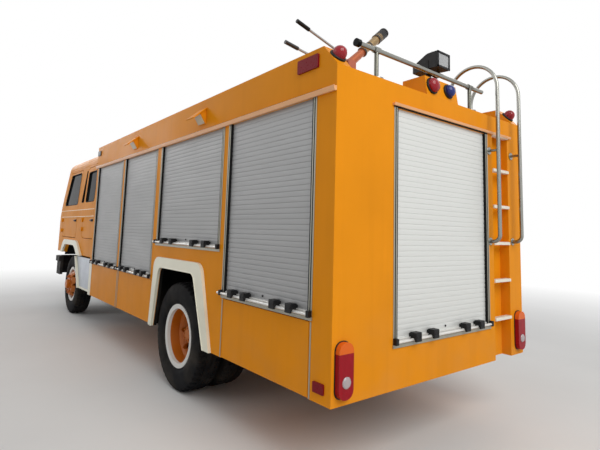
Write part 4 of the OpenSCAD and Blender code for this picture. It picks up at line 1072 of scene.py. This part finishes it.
def ring_on_side(bm, pts, s, r, width=0.014):
    """A window's rubber: a bead on the skin and a lining that covers the opening's edge."""
    outline = rounded([(x, 0, z) for x, z in pts], r)
    tube(bm, [(p.x, s * (side_y(p.z) - 0.003), p.z) for p in outline], width / 2, closed=True)
    middle = sum(outline, Vector()) / len(outline)
    loops = []
    for inset, depth in LINING_EDGES:
        ring = []
        for p in outline:
            q = p + (middle - p).normalized() * inset
            ring.append(bm.verts.new((q.x, s * (side_y(q.z) - depth), q.z)))
        loops.append(ring)
    for i in range(4):
        a, b = loops[i], loops[(i + 1) % 4]
        for k in range(len(outline)):
            j = (k + 1) % len(outline)
            bm.faces.new((a[k], a[j], b[j], b[k]))


FRONT_WINDOW = [(at(FRONT_AXLE - 300), 2.005), (at(FRONT_AXLE - 290), 2.600),
                (screen_x(2.600) - 0.350, 2.600), (screen_x(2.005) - 0.350, 2.005)]
REAR_WINDOW = [(at(CAB_REAR + 190), 2.030), (at(CAB_REAR + 190), 2.560), (at(CAB_REAR + 735), 2.560),
               (at(CAB_REAR + 735), 2.030)]
QUARTER = [(at(CAB_REAR + 845), 2.030), (at(CAB_REAR + 845), 2.600), (at(CAB_REAR + 900), 2.600),
           (at(CAB_REAR + 1020), 2.030)]


def handle(bm, x, s):
    """A grip on two feet over a flat plate."""
    y = s * CAB_HALF
    box(bm, (at(x - 70), y, 1.690), (at(x + 70), y + s * 0.006, 1.730))
    box(bm, (at(x - 55), y + s * 0.016, 1.700), (at(x + 55), y + s * 0.026, 1.720))
    for dx in (-50, 42):
        box(bm, (at(x + dx), y, 1.702), (at(x + dx + 8), y + s * 0.018, 1.718))


for side, s in SIDES:
    piece(f"seal_front_{side}", f"door_front_{side}", "rubber",
          lambda bm: ring_on_side(bm, FRONT_WINDOW, s, 0.050))
    piece(f"seal_rear_{side}", f"door_rear_{side}", "rubber",
          lambda bm: ring_on_side(bm, REAR_WINDOW, s, 0.050))
    piece(f"seal_quarter_{side}", "cab", "rubber",
          lambda bm: ring_on_side(bm, QUARTER, s, 0.025, 0.010))
    piece(f"handle_front_{side}", f"door_front_{side}", "black_plastic",
          lambda bm: handle(bm, FRONT_AXLE - 260, s), bevel=0.003)
    piece(f"handle_rear_{side}", f"door_rear_{side}", "black_plastic",
          lambda bm: handle(bm, CAB_REAR + 190, s), bevel=0.003)


def screen_seal(bm):
    """The windshield's rubber, which follows the leaned plane and its corners."""
    low, high, z0, z1 = 1.060, 1.015, 1.950, 2.620
    outline = rounded([(0, -low, z0), (0, low, z0), (0, high, z1), (0, -high, z1)], 0.070)
    tube(bm, [on_screen(p.y, p.z, -0.003) for p in outline], 0.013, closed=True)
    tube(bm, [on_screen(0, z, -0.005) for z in (z0, z1)], 0.010)


piece("screen_seal", "cab", "rubber", screen_seal)


def wipers(bm):
    """Two arms with their pivots, blades and rubbers."""
    for y in (-0.62, 0.20):
        root = on_screen(y, 1.915, 0.012)
        rod(bm, root - SCREEN_OUT * 0.012, root + SCREEN_OUT * 0.020, 0.022)
        rod(bm, root, on_screen(y + 0.48, 2.05, 0.030), 0.007, n=10)
        a = on_screen(y + 0.14, 1.985, 0.024)
        b = on_screen(y + 0.80, 2.12, 0.024)
        rod(bm, a, b, 0.006, n=8)
        rod(bm, a - SCREEN_OUT * 0.010, b - SCREEN_OUT * 0.010, 0.003, n=6)


piece("wipers", "cab", "black_plastic", wipers)


def cab_drip_rails(bm):
    for _, s in SIDES:
        y = s * (side_y(2.690) - 0.003)
        tube(bm, [(at(CAB_REAR + 30), y, 2.690), (at(CAB_FRONT - 640), y, 2.690),
                  (at(CAB_FRONT - 600), y, 2.680)], 0.009)


piece("cab_drip_rails", "cab", "body_paint", cab_drip_rails)


def mirror_faces(bm):
    for _, s in SIDES:
        box(bm, (at(CAB_FRONT - 128), s * 0.876, 2.110), (at(CAB_FRONT - 124), s * 1.064, 2.380))


piece("mirror_faces", "cab", "mirror_glass", mirror_faces, bevel=0.001)


def front_x(z):
    """Frame x of the cab's front under the windshield."""
    return at(CAB_FRONT) - FRONT_LEAN * (SCREEN_FOOT - z) / (SCREEN_FOOT - FRONT_FOOT)


GRILLE_BARS = 36
GRILLE_STEP = 0.0394


def grille_mesh(bm):
    """Thin upright bars behind the grille's louvres."""
    thick = Vector((0.005, 0, 0))
    for i in range(GRILLE_BARS):
        y = -0.69 + i * GRILLE_STEP
        low = Vector((front_x(1.145), y, 1.145))
        high = Vector((front_x(1.545), y, 1.545))
        prism(bm, [low, high, high + thick, low + thick], (0, 0.004, 0))


piece("grille_mesh", "cab", "grille_black", grille_mesh)


# Where the creases run, in millimetres: on the cab round its doors, and on each door
CAB_CREASES = ((5792, 5838), (6552, 6982), (8148, 8272))
FRONT_CREASES = ((6994, 8136),)
REAR_CREASES = ((5849, 6541),)


def creases(bm, spans, s):
    """Two fine raised lines along the belt's edges, in pale paint as a painted highlight on the creases."""
    y = s * (CAB_HALF + 0.003)
    for x0, x1 in spans:
        for z in (1.779, 1.899):
            rod(bm, (at(x0), y, z), (at(x1), y, z), 0.006, n=10)


for side, s in SIDES:
    piece(f"creases_cab_{side}", "cab", "crease",
          lambda bm: creases(bm, CAB_CREASES, s))
    piece(f"creases_front_{side}", f"door_front_{side}", "crease",
          lambda bm: creases(bm, FRONT_CREASES, s))
    piece(f"creases_rear_{side}", f"door_rear_{side}", "crease",
          lambda bm: creases(bm, REAR_CREASES, s))


# The rear arch's inner edge: (millimetres from the axle, height)
ARCH = ((-690, 0.541), (-420, 1.190), (440, 1.190), (560, 0.541))


def arch_lips(bm):
    """Rolled edges along the pale flares."""
    for _, s in SIDES:
        path = [(at(REAR_AXLE + x), s * (BODY_HALF + 0.028), z) for x, z in ARCH]
        corners = rounded(path, 0.090)[ARC_STEPS + 1:3 * (ARC_STEPS + 1)]
        tube(bm, [path[0], *corners, path[3]], 0.006)


piece("arch_lips", "chassis", "pale_paint", arch_lips)


# Seats as crowned cushions

PAD_STEPS = (28, 40, 8)
CROWN = 0.030
DRAWN_IN = 0.012
CHANNEL_DEPTH = 0.014
CHANNEL_HALF = 0.012
EDGE_DROP = 0.015


def cushion(name, lo, hi, tilt, channels):
    """A stuffed pad: crowned faces, sides drawn in between the corners, sewn channels across its top."""
    size = [b - a for a, b in zip(lo, hi)]
    bm = bmesh.new()
    grid = {}

    def shape(u, v, w):
        upper = w > 0.5
        edge = min(1.0, 5 * min(u, 1 - u, v, 1 - v))
        puff = math.sin(math.pi * u) ** 0.5 * math.sin(math.pi * v) ** 0.5 if 0 < u < 1 and 0 < v < 1 else 0.0
        draw = DRAWN_IN * math.sin(math.pi * u) if v in (0.0, 1.0) else 0.0
        x = lo[0] + size[0] * u
        y = lo[1] + size[1] * v + (draw if v < 0.5 else -draw)
        bulge = CROWN * puff * (1 if upper else -0.15)
        if upper:
            for c in channels:
                bulge -= CHANNEL_DEPTH * math.exp(-((v - c) / CHANNEL_HALF) ** 2) * edge
        z = lo[2] + size[2] * w + bulge - (EDGE_DROP * (1 - edge) if upper else 0)
        return Vector((x, y, z))

    def vert(key):
        if key not in grid:
            grid[key] = bm.verts.new(shape(*(i / n for i, n in zip(key, PAD_STEPS))))
        return grid[key]

    # The block's six sides: a and b run over a side, c is fixed at either end
    for a, b, c in ((0, 1, 2), (0, 2, 1), (1, 2, 0)):
        for i in range(PAD_STEPS[a]):
            for j in range(PAD_STEPS[b]):
                for end in (0, PAD_STEPS[c]):
                    places = [{a: i + di, b: j + dj, c: end} for di, dj in ((0, 0), (1, 0), (1, 1), (0, 1))]
                    bm.faces.new([vert((place[0], place[1], place[2])) for place in places])
    pivot = Vector((lo[0], 0, lo[2]))
    bmesh.ops.rotate(bm, verts=bm.verts, cent=pivot, matrix=Matrix.Rotation(tilt, 3, "Y"))
    o = as_object(bm, name, "seat_trim")
    mod = o.modifiers.new("soft", "SUBSURF")
    mod.levels = mod.render_levels = 1
    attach(o, "cab")


SEAT_Z = 1.650
PAD = 0.095
BACK_UP = 0.130
BACK_TALL = 0.540
BACK_TILT = math.radians(-97.6)
# (name, front-to-back place in millimetres, right edge, left edge, places of the sewn channels)
SEATS = [("seat_left", FRONT_AXLE - 200, 0.470, 0.960, (0.3, 0.7)),
         ("seat_right", FRONT_AXLE - 200, -0.960, -0.470, (0.3, 0.7)),
         ("seat_bench", CAB_REAR + 215, -1.020, 1.020, (0.167, 0.333, 0.5, 0.667, 0.833))]
for name, x, y0, y1, channels in SEATS:
    cushion(name + "_pad", (at(x - 50), y0, SEAT_Z), (at(x + 435), y1, SEAT_Z + PAD), 0.0, channels)
    cushion(name + "_back", (at(x + 50), y0 + 0.004, SEAT_Z + BACK_UP),
            (at(x + 50) + BACK_TALL, y1 - 0.004, SEAT_Z + BACK_UP + PAD), BACK_TILT, channels)


def seat_bases(bm):
    for _, x, y0, y1, _ in SEATS:
        box(bm, (at(x - 20), y0 + 0.06, 1.421), (at(x + 380), y1 - 0.06, SEAT_Z))


piece("seat_bases", "cab", "black_plastic", seat_bases, bevel=0.01, replaces=("seats",))


def dials(bm):
    """Four round dials on the dashboard, before the driver."""
    x = at(CAB_FRONT - 384)
    for k in range(4):
        y = 0.50 + k * 0.09
        rod(bm, (x - 0.010, y, 1.868), (x + 0.004, y, 1.868), 0.032, n=28)


piece("dials", "cab", "steel", dials, bevel=0.001)


# Camera, lights and floor

CAMERA_PLACE = (at(-2132), 3.203, 1.605)
YAW, PITCH, ROLL = (math.radians(a) for a in (-38.707, 6.413, 1.632))
# Distances from the truck's middle between which the floor fades into the white background
FADE = (6.0, 13.0)
SOFT_LIGHT = 0.37

cam_data = bpy.data.cameras.new("camera")
cam_data.sensor_width = 36.0
cam_data.lens = 27.217
cam_data.shift_x = -0.00484
cam_data.shift_y = -0.07224
fwd = Vector((math.cos(YAW) * math.cos(PITCH), math.sin(YAW) * math.cos(PITCH), math.sin(PITCH)))
level = Vector((math.sin(YAW), -math.cos(YAW), 0))
above = level.cross(fwd)
right = math.cos(ROLL) * level + math.sin(ROLL) * above
up = -math.sin(ROLL) * level + math.cos(ROLL) * above
cam = bpy.data.objects.new("camera", cam_data)
cam.matrix_world = Matrix([(*row, place) for row, place in zip(zip(right, up, -fwd), CAMERA_PLACE)]
                          + [(0, 0, 0, 1)])
bpy.context.scene.collection.objects.link(cam)
bpy.context.scene.camera = cam


def area(name, place, target, size, power, color=(1, 1, 1)):
    """A square lamp that looks at target."""
    data = bpy.data.lights.new(name, "AREA")
    data.size = size
    data.energy = power
    data.color = color
    o = bpy.data.objects.new(name, data)
    o.location = place
    o.rotation_euler = (Vector(target) - Vector(place)).to_track_quat("-Z", "Y").to_euler()
    bpy.context.scene.collection.objects.link(o)


area("key", (-14, 2, 10), (-2, 0, 1.2), 9, 1260, (1.0, 0.98, 0.95))
area("side_fill", (2, 13, 9), (0, 0, 1.2), 9, 170)
area("front_fill", (13, 3, 8), (3, 0, 1.5), 8, 400)
area("far_fill", (2, -13, 9), (0, 0, 1.5), 9, 420)


def seen_directly(nt):
    """1 on rays that show the background: from the camera, in a mirror or through glass."""
    info = node(nt, "LightPath")
    either = math_node(nt, "MAXIMUM", info.outputs["Is Camera Ray"], info.outputs["Is Glossy Ray"])
    return math_node(nt, "MAXIMUM", either, info.outputs["Is Transmission Ray"])


floor_mat = surface("floor_mat", (0.74, 0.735, 0.72), 0.8, var=0.02, scale=0.8, gloss=0.1)
ft = floor_mat.node_tree
_, gx, gy, _ = coords(ft)
far = times(ft, ramp(ft, distance(ft, gx, gy), *FADE), seen_directly(ft))
white = node(ft, "Emission")
blend = node(ft, "MixShader")
ft.links.new(far, blend.inputs[0])
ft.links.new(ft.nodes["Principled BSDF"].outputs[0], blend.inputs[1])
ft.links.new(white.outputs[0], blend.inputs[2])
ft.links.new(blend.outputs[0], ft.nodes["Material Output"].inputs["Surface"])
bpy.ops.mesh.primitive_plane_add(size=400, location=(0, 0, 0))
floor = bpy.context.object
floor.name = "floor"
floor.data.materials.append(floor_mat)

world = bpy.data.worlds.new("world")
bpy.context.scene.world = world
world.use_nodes = True
wt = world.node_tree
wt.nodes.clear()
soft_bg = node(wt, "Background", Color=(0.92, 0.95, 1.0, 1), Strength=SOFT_LIGHT)
white_bg = node(wt, "Background", Color=(1, 1, 1, 1))
mixed = node(wt, "MixShader")
wt.links.new(seen_directly(wt), mixed.inputs[0])
wt.links.new(soft_bg.outputs[0], mixed.inputs[1])
wt.links.new(white_bg.outputs[0], mixed.inputs[2])
world_out = node(wt, "OutputWorld")
wt.links.new(mixed.outputs[0], world_out.inputs["Surface"])

bpy.context.scene.view_settings.view_transform = "Standard"

bpy.context.view_layer.update()
